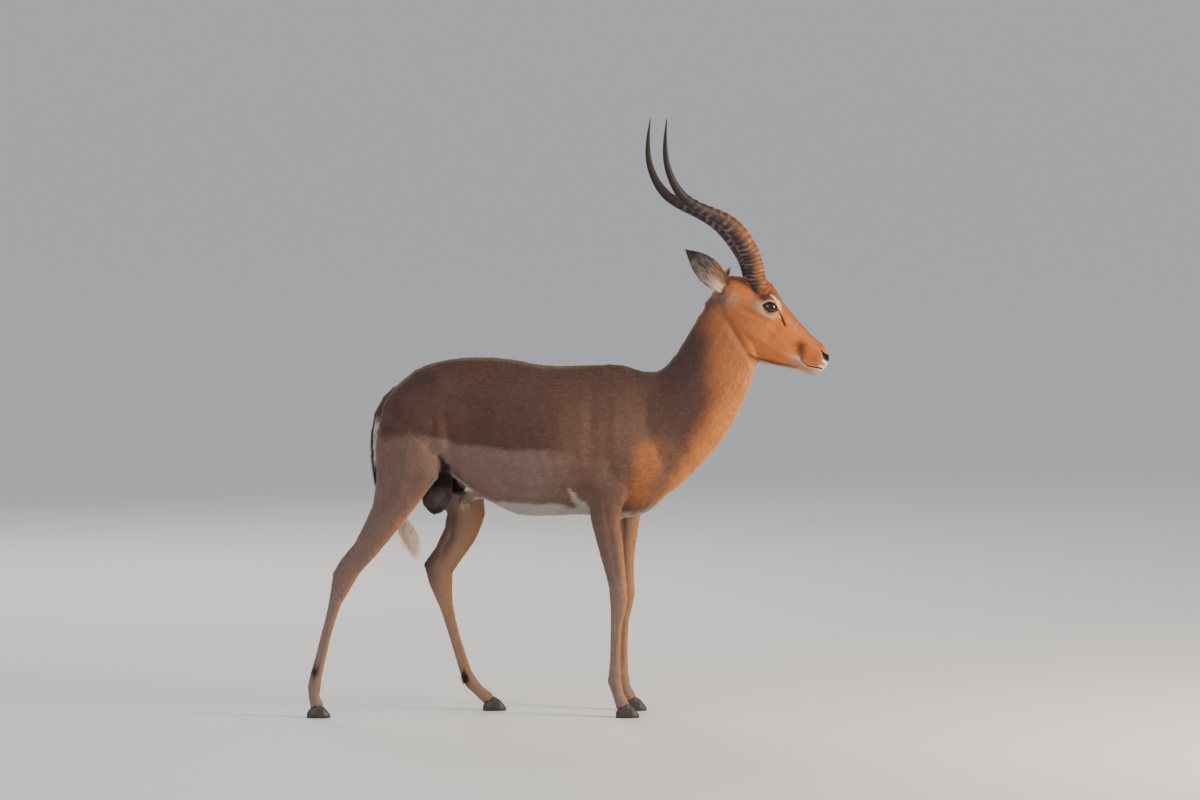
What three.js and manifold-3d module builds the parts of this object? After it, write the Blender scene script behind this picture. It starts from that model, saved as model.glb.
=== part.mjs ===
// A life-size impala ram, standing still, as one museum model.
// Millimetres. +X points to the nose, +Y to the animal's left, +Z up, and the soles rest on z = 0.
// Every outline runs out to the tips of the coat.
import * as THREE from "three";
import { mergeVertices } from "three/addons/utils/BufferGeometryUtils.js";
import Module from "manifold-3d";

const { Manifold, Mesh } = await loadSolids();
const { clamp, degToRad } = THREE.MathUtils;

// ---------------------------------------------------------------- driving dimensions
const WITHERS = 899; // floor to the top of the shoulders
const BARREL = 124; // half the width of the body at its widest ribs
const HEAD_LENGTH = 338; // crest of the skull to the tip of the nose
const HEAD_PITCH = degToRad(29); // the head's axis below level
const HEAD_YAW = degToRad(7); // the nose turned to the animal's left
const HEAD_ROLL = degToRad(2); // the left horn held a little lower than the right one
const HEAD_SEAT = new THREE.Vector3(451, 0, 1021); // origin of the head's own frame
const EYE_RADIUS = 21;
const EYE_AT = new THREE.Vector3(40, 43.5, 47.5); // in the head's own frame
const EAR_LENGTH = 151;
const EAR_WALL = 5; // thickness of the ear, hair included
const EAR_ROOT = new THREE.Vector3(-87, 42, 35); // in the head's own frame
const HORN_RIDGES = 12; // the strong rings of the lower horn
const RIDGED_SHARE = 0.66; // share of the horn's length that carries rings
const RIDGE_RISE = 0.04; // height of a ring, as a share of the horn's radius
const CORONET = 33; // top of the claws above the floor
const CLAW_LENGTH = 58;
const CLAW_HALF_WIDTH = 9.6;
const CLEFT = 1.2; // half the gap between the two claws of a foot
const GAP = 0.5; // left between two parts that meet
// The flat cuts that part the trunk from the neck and the neck from the head.
const NECK_CUT = { at: new THREE.Vector3(214, 0, 880), ahead: new THREE.Vector3(0.934, 0, 0.357) };
const HEAD_CUT = { at: new THREE.Vector3(366, 0, 1088), ahead: new THREE.Vector3(0.861, 0, 0.509) };

// ---------------------------------------------------------------- tools
async function loadSolids() {
  const wasm = await Module();
  wasm.setup();
  return wasm;
}

const SIDEWAYS = new THREE.Vector3(0, 1, 0);
const UPWARDS = new THREE.Vector3(0, 0, 1);

/** A signed power: rounds a circle into a squarer or a sharper section. */
function signedPower(value, power) {
  return Math.sign(value) * Math.abs(value) ** power;
}

/** A smooth bell, 1 at the middle and near 0 at twice its width. */
function bell(distance, width) {
  return Math.exp(-((distance / width) ** 2));
}

/** Every number of a list of stations, run smoothly from the first (u = 0) to the last (u = 1). */
function between(stations, u) {
  const last = stations.length - 1;
  const place = clamp(u, 0, 1) * last;
  const i = Math.min(Math.floor(place), last - 1);
  const f = place - i;
  const at = (k) => stations[clamp(k, 0, last)];
  return stations[i].map((start, c) => {
    const end = at(i + 1)[c];
    const leave = (end - at(i - 1)[c]) / 2;
    const arrive = (at(i + 2)[c] - start) / 2;
    const bend = 3 * (end - start) - 2 * leave - arrive;
    const twist = 2 * (start - end) + leave + arrive;
    return start + f * (leave + f * (bend + f * twist));
  });
}

/** A closed skin of some rings, each of some points; at(u, turn) puts every point in its place. */
function closedSkin(around, rings, at) {
  const ball = new THREE.SphereGeometry(1, around, rings + 1);
  ball.deleteAttribute("normal");
  ball.deleteAttribute("uv");
  const skin = mergeVertices(ball, 1e-5);
  const points = skin.getAttribute("position");
  const point = new THREE.Vector3();
  for (let i = 0; i < points.count; i++) {
    point.fromBufferAttribute(points, i);
    const row = Math.round((Math.acos(clamp(point.y, -1, 1)) / Math.PI) * (rings + 1));
    const u = clamp((row - 1) / (rings - 1), 0, 1);
    const isEnd = row === 0 || row === rings + 1;
    if (isEnd) {
      point.copy(at(u, Math.PI / 2)).add(at(u, -Math.PI / 2)).multiplyScalar(0.5);
    } else {
      point.copy(at(u, Math.atan2(point.z, point.x)));
    }
    points.setXYZ(i, point.x, point.y, point.z);
  }
  return skin;
}

/**
 * A limb or body, lofted along its middle line.
 * A station is [x, y, z, front, back, side, front roundness, back roundness]: the middle point,
 * then the reach ahead of it, behind it and to each side. Roundness 2 is an ellipse,
 * less is a ridge and more is a box. With upright, the sections stand plumb and front is up.
 */
function limb(stations, { around, rings, upright = false, grow = 0, relief }) {
  const middle = (u) => new THREE.Vector3(...between(stations, u).slice(0, 3));
  const step = 0.5 / rings;
  return closedSkin(around, rings, (u, turn) => {
    const [, , , front, back, side, frontRound, backRound] = between(stations, u);
    const along = middle(u + step).sub(middle(u - step)).normalize();
    const ahead = upright ? UPWARDS.clone() : along.clone().cross(SIDEWAYS).normalize();
    const c = Math.cos(turn);
    const s = Math.sin(turn);
    const reach = s > 0 ? front : back;
    const roundness = s > 0 ? frontRound : backRound;
    const across = (side + grow) * signedPower(c, 2 / roundness);
    const forward = (reach + grow) * signedPower(s, 2 / roundness);
    const point = middle(u).addScaledVector(SIDEWAYS, across).addScaledVector(ahead, forward);
    if (u === 0 || u === 1) point.addScaledVector(along, u === 0 ? -grow : grow);
    if (relief) point.y += Math.sign(c) * Math.abs(c) ** 0.7 * relief(point.x, point.z);
    return point;
  });
}

/** Swellings (or hollows, where out is negative) on the flank of a body, in side view. */
function swell(list) {
  return (x, z) =>
    list.reduce((sum, [atX, atZ, long, tall, out]) => {
      return sum + out * bell(x - atX, long) * bell(z - atZ, tall);
    }, 0);
}

function solid(geometry) {
  return new Manifold(
    new Mesh({
      numProp: 3,
      vertProperties: geometry.getAttribute("position").array,
      triVerts: new Uint32Array(geometry.index.array),
    }),
  );
}

function geometryOf(body) {
  const mesh = body.getMesh();
  const geometry = new THREE.BufferGeometry();
  geometry.setAttribute("position", new THREE.BufferAttribute(mesh.vertProperties, 3));
  geometry.setIndex(new THREE.BufferAttribute(mesh.triVerts, 1));
  return geometry;
}

/** The part of a body beyond a plane, on the side its normal points to, past a set-back. */
function beyond(body, point, normal, setBack = GAP / 2) {
  const size = 4000;
  const block = new THREE.BoxGeometry(size, size, size);
  block.deleteAttribute("normal");
  block.deleteAttribute("uv");
  block.translate(0, 0, size / 2 + setBack);
  block.applyQuaternion(new THREE.Quaternion().setFromUnitVectors(UPWARDS, normal));
  block.translate(point.x, point.y, point.z);
  return body.intersect(solid(mergeVertices(block, 1e-3)));
}

/** The largest piece of a body, which drops the crumbs that a cut leaves. */
function largest(body) {
  return body.decompose().reduce((a, b) => (b.volume() > a.volume() ? b : a));
}

// ---------------------------------------------------------------- trunk
// Stations: x, top, bottom, height of the widest place, half width, roundness above and below.
const TRUNK = [
  [-483, 716, 630, 676, 30, 2.0, 2.0],
  [-475, 768, 585, 696, 60, 2.1, 2.0],
  [-456, 816, 562, 714, 79, 2.2, 2.0],
  [-426, 853, 568, 732, 94, 2.2, 2.0],
  [-380, 889, 600, 740, 101, 2.2, 2.0],
  [-326, 906, 622, 742, 103, 2.1, 2.0],
  [-275, 915, 596, 732, 108, 2.0, 2.0],
  [-224, 917, 556, 718, 112, 2.0, 2.0],
  [-173, 915, 530, 704, 118, 2.0, 2.0],
  [-122, 908, 512, 692, 122, 2.0, 2.0],
  [-71, 898, 509, 684, BARREL, 2.0, 1.95],
  [-20, 895, 510, 680, 122, 1.95, 1.9],
  [31, 896, 512, 680, 116, 1.85, 1.8],
  [82, 898, 508, 682, 108, 1.7, 1.75],
  [133, WITHERS, 502, 686, 100, 1.6, 1.75],
  [180, 886, 512, 688, 94, 1.7, 1.8],
  [220, 866, 526, 692, 84, 1.9, 1.9],
  [254, 826, 562, 694, 66, 2.0, 2.0],
  [278, 770, 630, 696, 36, 2.0, 2.0],
];
// x, z, length, height, out: shoulder blade, upper arm, ribs, hip bone, flank hollow, haunch.
const TRUNK_RELIEF = [
  [128, 780, 46, 82, 9],
  [150, 640, 62, 62, 12],
  [70, 590, 40, 46, 9],
  [20, 760, 30, 90, -5],
  [-60, 690, 90, 80, 4],
  [-262, 742, 44, 66, -9],
  [-332, 856, 34, 26, 7],
  [-400, 740, 62, 80, 5],
];

function makeTrunk(grow = 0) {
  const stations = TRUNK.map(([x, top, bottom, level, wide, roof, keel]) => {
    return [x, 0, level, top - level, level - bottom, wide, roof, keel];
  });
  const relief = swell(TRUNK_RELIEF);
  return limb(stations, { around: 24, rings: 29, upright: true, grow, relief });
}

// The sheath of a ram hangs under the belly, just ahead of the hind legs.
const SHEATH = [
  [-225, 0, 590, 34, 30, 18, 2, 2],
  [-250, 0, 566, 30, 22, 16, 2, 2],
  [-268, 0, 549, 18, 14, 11, 2, 2],
  [-276, 0, 541, 9, 8, 7, 2, 2],
];

// ---------------------------------------------------------------- neck
const NECK = [
  [110, 0, 630, 100, 112, 66, 2.0, 2.0],
  [186, 0, 692, 124, 146, 86, 2.0, 2.0],
  [247, 0, 748, 121, 145, 84, 2.0, 1.9],
  [308, 0, 800, 111, 131, 77, 1.9, 1.9],
  [355, 0, 860, 104, 112, 71, 1.9, 1.9],
  [385, 2, 918, 98, 102, 66, 1.9, 1.9],
  [406, 3, 966, 92, 94, 61, 1.9, 1.9],
  [424, 4, 1012, 82, 88, 56, 2.0, 2.0],
  [440, 5, 1044, 56, 60, 46, 2.0, 2.0],
];

// ---------------------------------------------------------------- head
// Stations in the head's own frame: along, top, bottom, height of the widest place, half width,
// roundness above and below. The frame's x runs from the skull to the nose.
const HEAD = [
  [-92, 60, 0, 36, 22, 2.0, 2.0],
  [-84, 76, -24, 34, 38, 2.0, 2.0],
  [-64, 88, -52, 32, 50, 2.1, 2.0],
  [-34, 92, -74, 32, 56, 2.2, 1.9],
  [-6, 104, -87, 34, 58, 2.3, 1.9],
  [20, 106, -93, 38, 59, 2.4, 1.9],
  [44, 93, -94, 38, 58, 2.5, 1.8],
  [66, 81, -92, 32, 53, 2.5, 1.8],
  [90, 70, -88, 22, 46, 2.5, 1.8],
  [116, 60, -81, 10, 39, 2.4, 1.9],
  [144, 50, -71, 4, 34, 2.4, 2.0],
  [172, 41, -62, 0, 31, 2.4, 2.1],
  [198, 36, -56, -2, 30, 2.4, 2.2],
  [216, 32, -54, -4, 30.5, 2.4, 2.2],
  [230, 24, -48, -6, 29, 2.3, 2.2],
  [240, 15, -34, -8, 24, 2.2, 2.2],
  [HEAD_LENGTH - 92, 3, -20, -8, 13, 2.0, 2.0],
];
// along, height, length, height, out: brow, lower lid, cheek, hollow before the eye, nostril wing.
const HEAD_RELIEF = [
  [36, 70, 20, 12, 6],
  [40, 30, 20, 10, 3],
  [22, -34, 36, 34, 6],
  [78, 34, 16, 16, -5],
  [150, -6, 30, 22, -2],
  [222, 10, 12, 12, 2],
];

function makeHead(grow = 0) {
  const stations = HEAD.map(([x, top, bottom, level, wide, roof, jaw]) => {
    return [x, 0, level, top - level, level - bottom, wide, roof, jaw];
  });
  const relief = swell(HEAD_RELIEF);
  return turnHead(tilt(limb(stations, { around: 20, rings: 26, upright: true, grow, relief })));
}

/** Sets a shape made in the head's own frame on the neck, before the head is turned. */
function tilt(geometry) {
  geometry.rotateY(HEAD_PITCH);
  geometry.translate(HEAD_SEAT.x, HEAD_SEAT.y, HEAD_SEAT.z);
  return geometry;
}

/** Turns and leans a shape of the head about its seat. */
function turnHead(geometry) {
  geometry.translate(-HEAD_SEAT.x, 0, -HEAD_SEAT.z);
  geometry.rotateX(-HEAD_ROLL);
  geometry.rotateZ(HEAD_YAW);
  geometry.translate(HEAD_SEAT.x, 0, HEAD_SEAT.z);
  return geometry;
}

function makeEye(side, grow = 0) {
  const ball = new THREE.SphereGeometry(EYE_RADIUS + grow, 12, 8);
  ball.deleteAttribute("normal");
  ball.deleteAttribute("uv");
  ball.translate(EYE_AT.x, side * EYE_AT.y, EYE_AT.z);
  return turnHead(tilt(mergeVertices(ball, 1e-4)));
}

// ---------------------------------------------------------------- ears
// Stations: share of the length, half width, depth of the cup.
const EAR = [
  [0, 17, 18],
  [0.14, 26, 23],
  [0.3, 34, 23],
  [0.46, 36, 18],
  [0.62, 32, 13],
  [0.78, 22, 8],
  [0.91, 10, 3.5],
  [1, 2.5, 1],
];
// Where each ear points and what its hollow faces: the right one back, the left one out.
const EAR_AIM = {
  right: { axis: [-0.705, -0.34, 0.665], mouth: [0.3, -1, 0.12] },
  left: { axis: [0.3, 0.92, 0.22], mouth: [0.9, -0.3, -0.3] },
};

/** A leaf-shaped cup from a root along an axis; its hollow looks to the side named mouth. */
function makeEar(root, axis, mouth) {
  const along = axis.clone().normalize();
  const open = mouth.clone().addScaledVector(along, -mouth.dot(along)).normalize();
  const across = open.clone().cross(along).normalize();
  return closedSkin(14, 10, (u, turn) => {
    const [share, wide, cup] = between(EAR, u);
    const c = Math.cos(turn);
    const s = Math.sin(turn);
    const wall = (EAR_WALL / 2) * clamp(2.2 * s, -1, 1);
    const deep = cup * (1 - c * c) + wall;
    return root
      .clone()
      .addScaledVector(along, share * EAR_LENGTH)
      .addScaledVector(across, -wide * c)
      .addScaledVector(open, cup * 0.4 - deep);
  });
}

// ---------------------------------------------------------------- horns
// Stations of the right horn before the head is turned: x, y, z, radius.
const HORN_LINE = [
  [482, -33, 1090, 25],
  [467, -45, 1158, 26],
  [446, -63, 1201, 26],
  [421, -83, 1235, 25],
  [395, -102, 1260, 22.5],
  [363, -121, 1278, 18.5],
  [336, -135, 1291, 16.2],
  [300, -149, 1308, 14.4],
  [268, -160, 1332, 12.4],
  [243, -169, 1370, 9.6],
  [228, -172, 1418, 7.4],
  [226, -168, 1470, 4.8],
  [231, -160, 1524, 1.0],
];

function makeHorn(side) {
  const middle = (u) => new THREE.Vector3(...between(HORN_LINE, u).slice(0, 3));
  const rings = 35;
  const step = 0.5 / rings;
  const right = closedSkin(8, rings, (u, turn) => {
    const along = middle(u + step).sub(middle(u - step)).normalize();
    const out = UPWARDS.clone().cross(along).normalize();
    const ahead = along.clone().cross(out);
    const ridge = u < RIDGED_SHARE ? Math.cos(2 * Math.PI * HORN_RIDGES * (u / RIDGED_SHARE)) : -1;
    const radius = between(HORN_LINE, u)[3] * (1 + RIDGE_RISE * ridge);
    return middle(u)
      .addScaledVector(out, radius * Math.cos(turn))
      .addScaledVector(ahead, radius * Math.sin(turn));
  });
  return turnHead(side < 0 ? right : mirrored(right));
}

/** The other side's copy of a shape, with its faces turned to point outwards again. */
function mirrored(geometry) {
  geometry.scale(1, -1, 1);
  const index = geometry.index.array;
  for (let i = 0; i < index.length; i += 3) {
    [index[i + 1], index[i + 2]] = [index[i + 2], index[i + 1]];
  }
  return geometry;
}

// ---------------------------------------------------------------- legs
// The right hind leg is set back, the left one forward; the forelegs stand almost side by side.
const HIND_RIGHT = [
  [-392, -42, 824, 46, 46, 30, 2, 2],
  [-403, -57, 740, 76, 77, 48, 2, 2],
  [-408, -61, 688, 84, 82, 49, 2, 2],
  [-407, -62, 632, 82, 83, 45, 2, 2],
  [-430, -63, 578, 61, 63, 39, 2, 2],
  [-456, -64, 522, 46, 47, 32, 2, 2],
  [-486, -68, 478, 41, 37, 27, 2, 2],
  [-520, -72, 430, 36, 29, 22, 2, 2],
  [-553, -75, 389, 32, 30, 19, 2, 2],
  [-570, -76, 358, 30, 31, 20, 2.2, 2],
  [-581, -76, 328, 25, 23, 18, 2.2, 2],
  [-592, -76, 296, 17, 17, 14.5, 2, 2],
  [-603, -76, 256, 14, 14, 12, 2, 2],
  [-617, -76, 205, 13, 13.5, 11.5, 2, 2],
  [-629, -77, 152, 13.5, 15, 12, 2, 2],
  [-639, -77, 110, 14, 17, 13, 2, 2],
  [-645, -78, 80, 16, 18, 17, 2, 2],
  [-646, -78, 54, 14, 15, 16, 2, 2],
  [-641, -78, 32, 18, 16, 18.5, 2, 2],
  [-638, -78, 18, 14, 14, 14, 2, 2],
];
const HIND_LEFT = [
  [-392, 42, 824, 46, 46, 30, 2, 2],
  [-392, 57, 740, 76, 78, 48, 2, 2],
  [-372, 61, 684, 84, 86, 49, 2, 2],
  [-330, 62, 626, 76, 80, 45, 2, 2],
  [-276, 63, 574, 66, 70, 39, 2, 2],
  [-258, 65, 512, 54, 54, 33, 2, 2],
  [-278, 69, 456, 44, 43, 27, 2, 2],
  [-304, 73, 406, 36, 40, 22, 2, 2],
  [-326, 76, 366, 33, 47, 20, 2.2, 2],
  [-325, 77, 334, 30, 34, 20, 2.2, 2],
  [-319, 77, 302, 23, 26, 17, 2.2, 2],
  [-311, 77, 268, 17, 19, 14.5, 2, 2],
  [-300, 77, 226, 14, 16, 12, 2, 2],
  [-287, 77, 180, 13, 15, 11.5, 2, 2],
  [-273, 77, 134, 13.5, 15.5, 12, 2, 2],
  [-261, 78, 98, 14, 17, 13, 2, 2],
  [-248, 78, 72, 16.5, 18, 17, 2, 2],
  [-228, 78, 50, 14.5, 15, 16, 2, 2],
  [-209, 78, 34, 17, 17, 18.5, 2, 2],
  [-200, 78, 20, 13, 13, 14, 2, 2],
];
const FORE_RIGHT = [
  [128, -60, 640, 54, 54, 34, 2, 2],
  [106, -64, 590, 50, 54, 34, 2, 2],
  [97, -67, 540, 42, 46, 31, 2, 2],
  [99, -69, 494, 35, 38, 27, 2, 2],
  [107, -71, 451, 33, 34, 24, 2, 2],
  [114, -72, 413, 30, 31, 22, 2, 2],
  [121, -73, 375, 26, 27, 20, 2, 2],
  [127, -74, 338, 23, 24, 19.5, 2.2, 2],
  [130, -75, 304, 23, 24, 21.5, 2.3, 2],
  [128, -75, 274, 20, 20, 18, 2.3, 2],
  [124, -75, 240, 15, 15.5, 14, 2, 2],
  [122, -75, 186, 13, 14.5, 12.5, 2, 2],
  [121, -75, 134, 13.5, 15, 12.5, 2, 2],
  [120, -76, 94, 16.5, 19, 16.5, 2, 2],
  [128, -76, 62, 14, 15.5, 15.5, 2, 2],
  [138, -76, 34, 17.5, 17, 18.5, 2, 2],
  [143, -76, 20, 13, 13, 14, 2, 2],
];
/** How far the left foreleg leans ahead of the right one's mirror image, at a height. */
const leadAt = (z) => 19 + 37 * bell(z - 540, 110);
const FORE_LEFT = FORE_RIGHT.map(([x, y, z, ...rest]) => [x + leadAt(z), -y, z, ...rest]);

const LEGS = {
  hindleg_right: { stations: HIND_RIGHT, around: 12, rings: 20, toe: -606, lift: 1 },
  hindleg_left: { stations: HIND_LEFT, around: 12, rings: 20, toe: -160, lift: 1 },
  foreleg_right: { stations: FORE_RIGHT, around: 12, rings: 17, toe: 181, lift: 1.05 },
  foreleg_left: { stations: FORE_LEFT, around: 12, rings: 17, toe: 201, lift: 1.05 },
};

// ---------------------------------------------------------------- claws
// Stations: share of the length from the heel, share of the coronet's height, share of half width.
const CLAW = [
  [0, 0.4, 0.5],
  [0.1, 0.66, 0.86],
  [0.3, 0.92, 1],
  [0.5, 1.06, 1],
  [0.68, 0.84, 0.9],
  [0.84, 0.56, 0.68],
  [0.95, 0.32, 0.42],
  [1, 0.2, 0.24],
];
const SOLE_TRIM = 6; // made below the floor and cut away, so that the sole is flat

/** One claw, its flat sole on the floor; outwards is +1 or -1, away from the other claw. */
function makeClaw({ toe, middle, outwards, lift, grow = 0 }) {
  const stations = CLAW.map(([share, tall, wide]) => {
    const x = toe + (share - 1) * CLAW_LENGTH;
    const halfWidth = CLAW_HALF_WIDTH * wide;
    const y = middle + outwards * (CLEFT + halfWidth);
    const top = CORONET * lift * tall;
    return [x, y, top * 0.3, top * 0.7, top * 0.3 + SOLE_TRIM, halfWidth, 2, 3];
  });
  const claw = solid(limb(stations, { around: 8, rings: 6, upright: true, grow }));
  return beyond(claw, new THREE.Vector3(), UPWARDS, 0);
}

// ---------------------------------------------------------------- tail and scrotum
const TAIL = [
  [-434, 0, 838, 9, 9, 14, 2, 2],
  [-463, 0, 806, 13, 13, 20, 2, 2],
  [-487, 0, 762, 11, 11, 19, 2, 2],
  [-495, 0, 706, 9, 9, 16, 2, 2],
  [-492, 0, 640, 9, 9, 15, 2, 2],
  [-478, 0, 582, 10, 10, 15, 2, 2],
  [-448, 0, 530, 14, 13, 16, 2, 2],
  [-420, 0, 490, 19, 17, 18, 2, 2],
  [-404, 0, 458, 19, 17, 17, 2, 2],
  [-396, 0, 430, 11, 10, 9, 2, 2],
  [-393, 0, 412, 2, 2, 2, 2, 2],
];
const SCROTUM = [
  [-322, 0, 654, 20, 20, 20, 2, 2],
  [-326, 0, 628, 29, 30, 27, 2, 2],
  [-331, 0, 596, 38, 38, 32, 2, 2],
  [-335, 0, 564, 41, 41, 33, 2, 2],
  [-338, 0, 538, 34, 34, 28, 2, 2],
  [-341, 0, 522, 20, 20, 16, 2, 2],
  [-342, 0, 515, 6, 6, 6, 2, 2],
];

// ---------------------------------------------------------------- materials
const finish = (color, roughness, metalness = 0) => {
  return new THREE.MeshStandardMaterial({ color, roughness, metalness });
};
const COAT = finish(0x9c6a48, 0.8);
const EAR_COAT = finish(0xa9836a, 0.8);
const DARK_SKIN = finish(0x2a2626, 0.6);
const HORN = finish(0x5a4638, 0.5);
const CLAW_HORN = finish(0x211d1b, 0.4);
const EYE = finish(0x1a0f0a, 0.05);

// ---------------------------------------------------------------- joining and parting
// Each part is cut back to its neighbour's surface, grown by the gap between them.
const impala = new THREE.Group();

function place(name, body, material) {
  const mesh = new THREE.Mesh(geometryOf(body), material);
  mesh.name = name;
  impala.add(mesh);
}

/** A body less everything in a list of grown neighbours. */
function cutBack(body, neighbours) {
  return largest(neighbours.reduce((left, other) => left.subtract(other), body));
}

const SIDES = { right: -1, left: 1 };
const trunkShape = (grow) => {
  const sheath = limb(SHEATH, { around: 8, rings: 5, grow });
  return solid(makeTrunk(grow)).add(solid(sheath));
};
const headShape = (grow) => solid(makeHead(grow));
const trunkSpace = trunkShape(GAP);
const headSpace = headShape(GAP);

// The trunk, neck and head grow as one and are parted by two thin flat cuts.
const backwards = (cut) => cut.ahead.clone().negate();
const neckShape = solid(limb(NECK, { around: 20, rings: 12 }));
const body = trunkShape(0).add(neckShape).add(headShape(0));
const frontOfBody = beyond(body, NECK_CUT.at, NECK_CUT.ahead);
place("trunk", largest(beyond(body, NECK_CUT.at, backwards(NECK_CUT))), COAT);
place("neck", largest(beyond(frontOfBody, HEAD_CUT.at, backwards(HEAD_CUT))), COAT);

const thighSpaces = [];
for (const [name, { stations, around, rings, toe, lift }] of Object.entries(LEGS)) {
  const middle = stations.at(-1)[1];
  const clawSpaces = [];
  for (const [claw, turn] of [["outer", 1], ["inner", -1]]) {
    const at = { toe, middle, outwards: turn * Math.sign(middle), lift };
    place(name.replace("leg", "claw") + "_" + claw, makeClaw(at), CLAW_HORN);
    clawSpaces.push(makeClaw({ ...at, grow: GAP }));
  }
  const leg = (grow) => solid(limb(stations, { around, rings, grow }));
  place(name, cutBack(leg(0), [trunkSpace, ...clawSpaces]), COAT);
  if (name.startsWith("hind")) thighSpaces.push(leg(GAP));
}
const tail = solid(limb(TAIL, { around: 8, rings: 12 }));
place("tail", cutBack(tail, [trunkSpace, ...thighSpaces]), COAT);
const scrotum = solid(limb(SCROTUM, { around: 12, rings: 7 }));
place("scrotum", cutBack(scrotum, [trunkSpace, ...thighSpaces]), DARK_SKIN);

let head = beyond(frontOfBody, HEAD_CUT.at, HEAD_CUT.ahead);
for (const [name, side] of Object.entries(SIDES)) {
  const root = new THREE.Vector3(EAR_ROOT.x, side * EAR_ROOT.y, EAR_ROOT.z);
  root.applyAxisAngle(SIDEWAYS, HEAD_PITCH).add(HEAD_SEAT);
  const axis = new THREE.Vector3(...EAR_AIM[name].axis);
  const mouth = new THREE.Vector3(...EAR_AIM[name].mouth);
  const ear = solid(turnHead(makeEar(root, axis, mouth)));
  place("ear_" + name, cutBack(ear, [headSpace]), EAR_COAT);
  place("horn_" + name, cutBack(solid(makeHorn(side)), [headSpace]), HORN);
  place("eye_" + name, solid(makeEye(side)), EYE);
  head = head.subtract(solid(makeEye(side, GAP)));
}
place("head", largest(head), COAT);

// The origin goes to the floor under the middle of the whole animal.
const extent = new THREE.Box3().setFromObject(impala);
const middle = extent.getCenter(new THREE.Vector3());
for (const mesh of impala.children) {
  mesh.geometry.translate(-middle.x, -middle.y, -extent.min.z);
}

export default impala;
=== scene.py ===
# %% [markdown]
# # An impala ram, life size
# The real animal stands 0.90 m at the withers, under ringed horns that reach 1.53 m. This lesson
# dresses a plain construction model with what an eye sees: one seamless skin, a short sleek coat in
# three tones, long hair where it grows long, ringed horns, dark claws and wet eyes.
# The construction model is loaded first and never changed. All lengths are in metres: +X runs to
# the nose, +Y to the animal's left side, +Z up, and the soles rest on z = 0.

# %% Load the frame
import math

import bmesh
import bpy
import numpy as np
from mathutils import Matrix, Vector
from mathutils.bvhtree import BVHTree


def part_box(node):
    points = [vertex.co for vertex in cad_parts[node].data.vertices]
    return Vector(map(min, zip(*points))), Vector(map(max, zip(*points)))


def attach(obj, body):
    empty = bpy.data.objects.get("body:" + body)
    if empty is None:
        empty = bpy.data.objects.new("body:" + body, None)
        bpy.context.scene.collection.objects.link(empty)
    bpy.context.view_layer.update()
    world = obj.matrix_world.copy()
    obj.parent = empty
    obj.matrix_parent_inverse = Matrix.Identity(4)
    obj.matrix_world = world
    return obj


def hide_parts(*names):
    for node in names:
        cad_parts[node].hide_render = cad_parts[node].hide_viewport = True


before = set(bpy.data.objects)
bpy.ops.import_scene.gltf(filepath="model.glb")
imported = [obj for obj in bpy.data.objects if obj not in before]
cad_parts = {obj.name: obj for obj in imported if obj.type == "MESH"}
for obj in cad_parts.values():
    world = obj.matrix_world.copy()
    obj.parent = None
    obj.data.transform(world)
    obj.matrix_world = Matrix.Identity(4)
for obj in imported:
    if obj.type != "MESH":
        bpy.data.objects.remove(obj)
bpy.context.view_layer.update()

MM = 0.001

# %% [markdown]
# ## The camera
# A long lens from eighteen metres keeps the animal's side view almost free of perspective. The
# aim lies a little below the middle of the body, because the horns reach far above it.

# %% Camera
IMAGE_WIDTH = 1200
LENS_PIXELS = 7060
SENSOR = 36.0
CAMERA_AT, CAMERA_AIM = (0.0802, -17.9497, 2.2), (0.0802, 0.0003, 0.806)


def new_object(name, data):
    piece = bpy.data.objects.new(name, data)
    bpy.context.scene.collection.objects.link(piece)
    return piece


def look_at(piece, place, target):
    piece.location = place
    piece.rotation_euler = (Vector(target) - Vector(place)).to_track_quat("-Z", "Y").to_euler()


lens = bpy.data.cameras.new("camera")
lens.sensor_width = SENSOR
lens.lens = LENS_PIXELS / IMAGE_WIDTH * SENSOR
camera = new_object("camera", lens)
look_at(camera, CAMERA_AT, CAMERA_AIM)
bpy.context.scene.camera = camera
print("camera", round(lens.lens, 1), "mm")

# %% [markdown]
# ## The head's own frame
# The head is tipped 29 degrees down, turned 7 degrees to the left and leans 2 degrees. Measuring
# eyes, lips and nostrils in a frame that turns with the head keeps both sides alike. The two eyes
# of the construction model say where that frame sits.

# %% Head frame
EYE_AT = Vector((40, 43.5, 47.5)) * MM
EYE_RADIUS = 21 * MM
HEAD_PITCH, HEAD_YAW, HEAD_ROLL = (math.radians(angle) for angle in (29, 7, 2))
head_turn = (
    Matrix.Rotation(HEAD_YAW, 3, "Z")
    @ Matrix.Rotation(-HEAD_ROLL, 3, "X")
    @ Matrix.Rotation(HEAD_PITCH, 3, "Y")
)


def middle_of(node):
    low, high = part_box(node)
    return (low + high) / 2


eyes_middle = (middle_of("eye_right") + middle_of("eye_left")) / 2
head_seat = eyes_middle - head_turn @ Vector((EYE_AT.x, 0, EYE_AT.z))
HEAD_TURN = np.array(head_turn)
HEAD_SEAT = np.array(head_seat)


def to_head(points):
    return (points - HEAD_SEAT) @ HEAD_TURN


def from_head(points):
    return np.asarray(points) @ HEAD_TURN.T + HEAD_SEAT


print("head seat", [round(value, 4) for value in head_seat])

# %% [markdown]
# ## The skin, first step: two remeshed shells
# The construction model is made of parts with hairline gaps. A voxel remesh turns overlapping
# bodies into one closed skin, so the parts are swollen a little until they overlap. The face needs
# finer cells than the barrel, so the head and the body are remeshed apart and joined at a ring
# round the neck.

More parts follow.
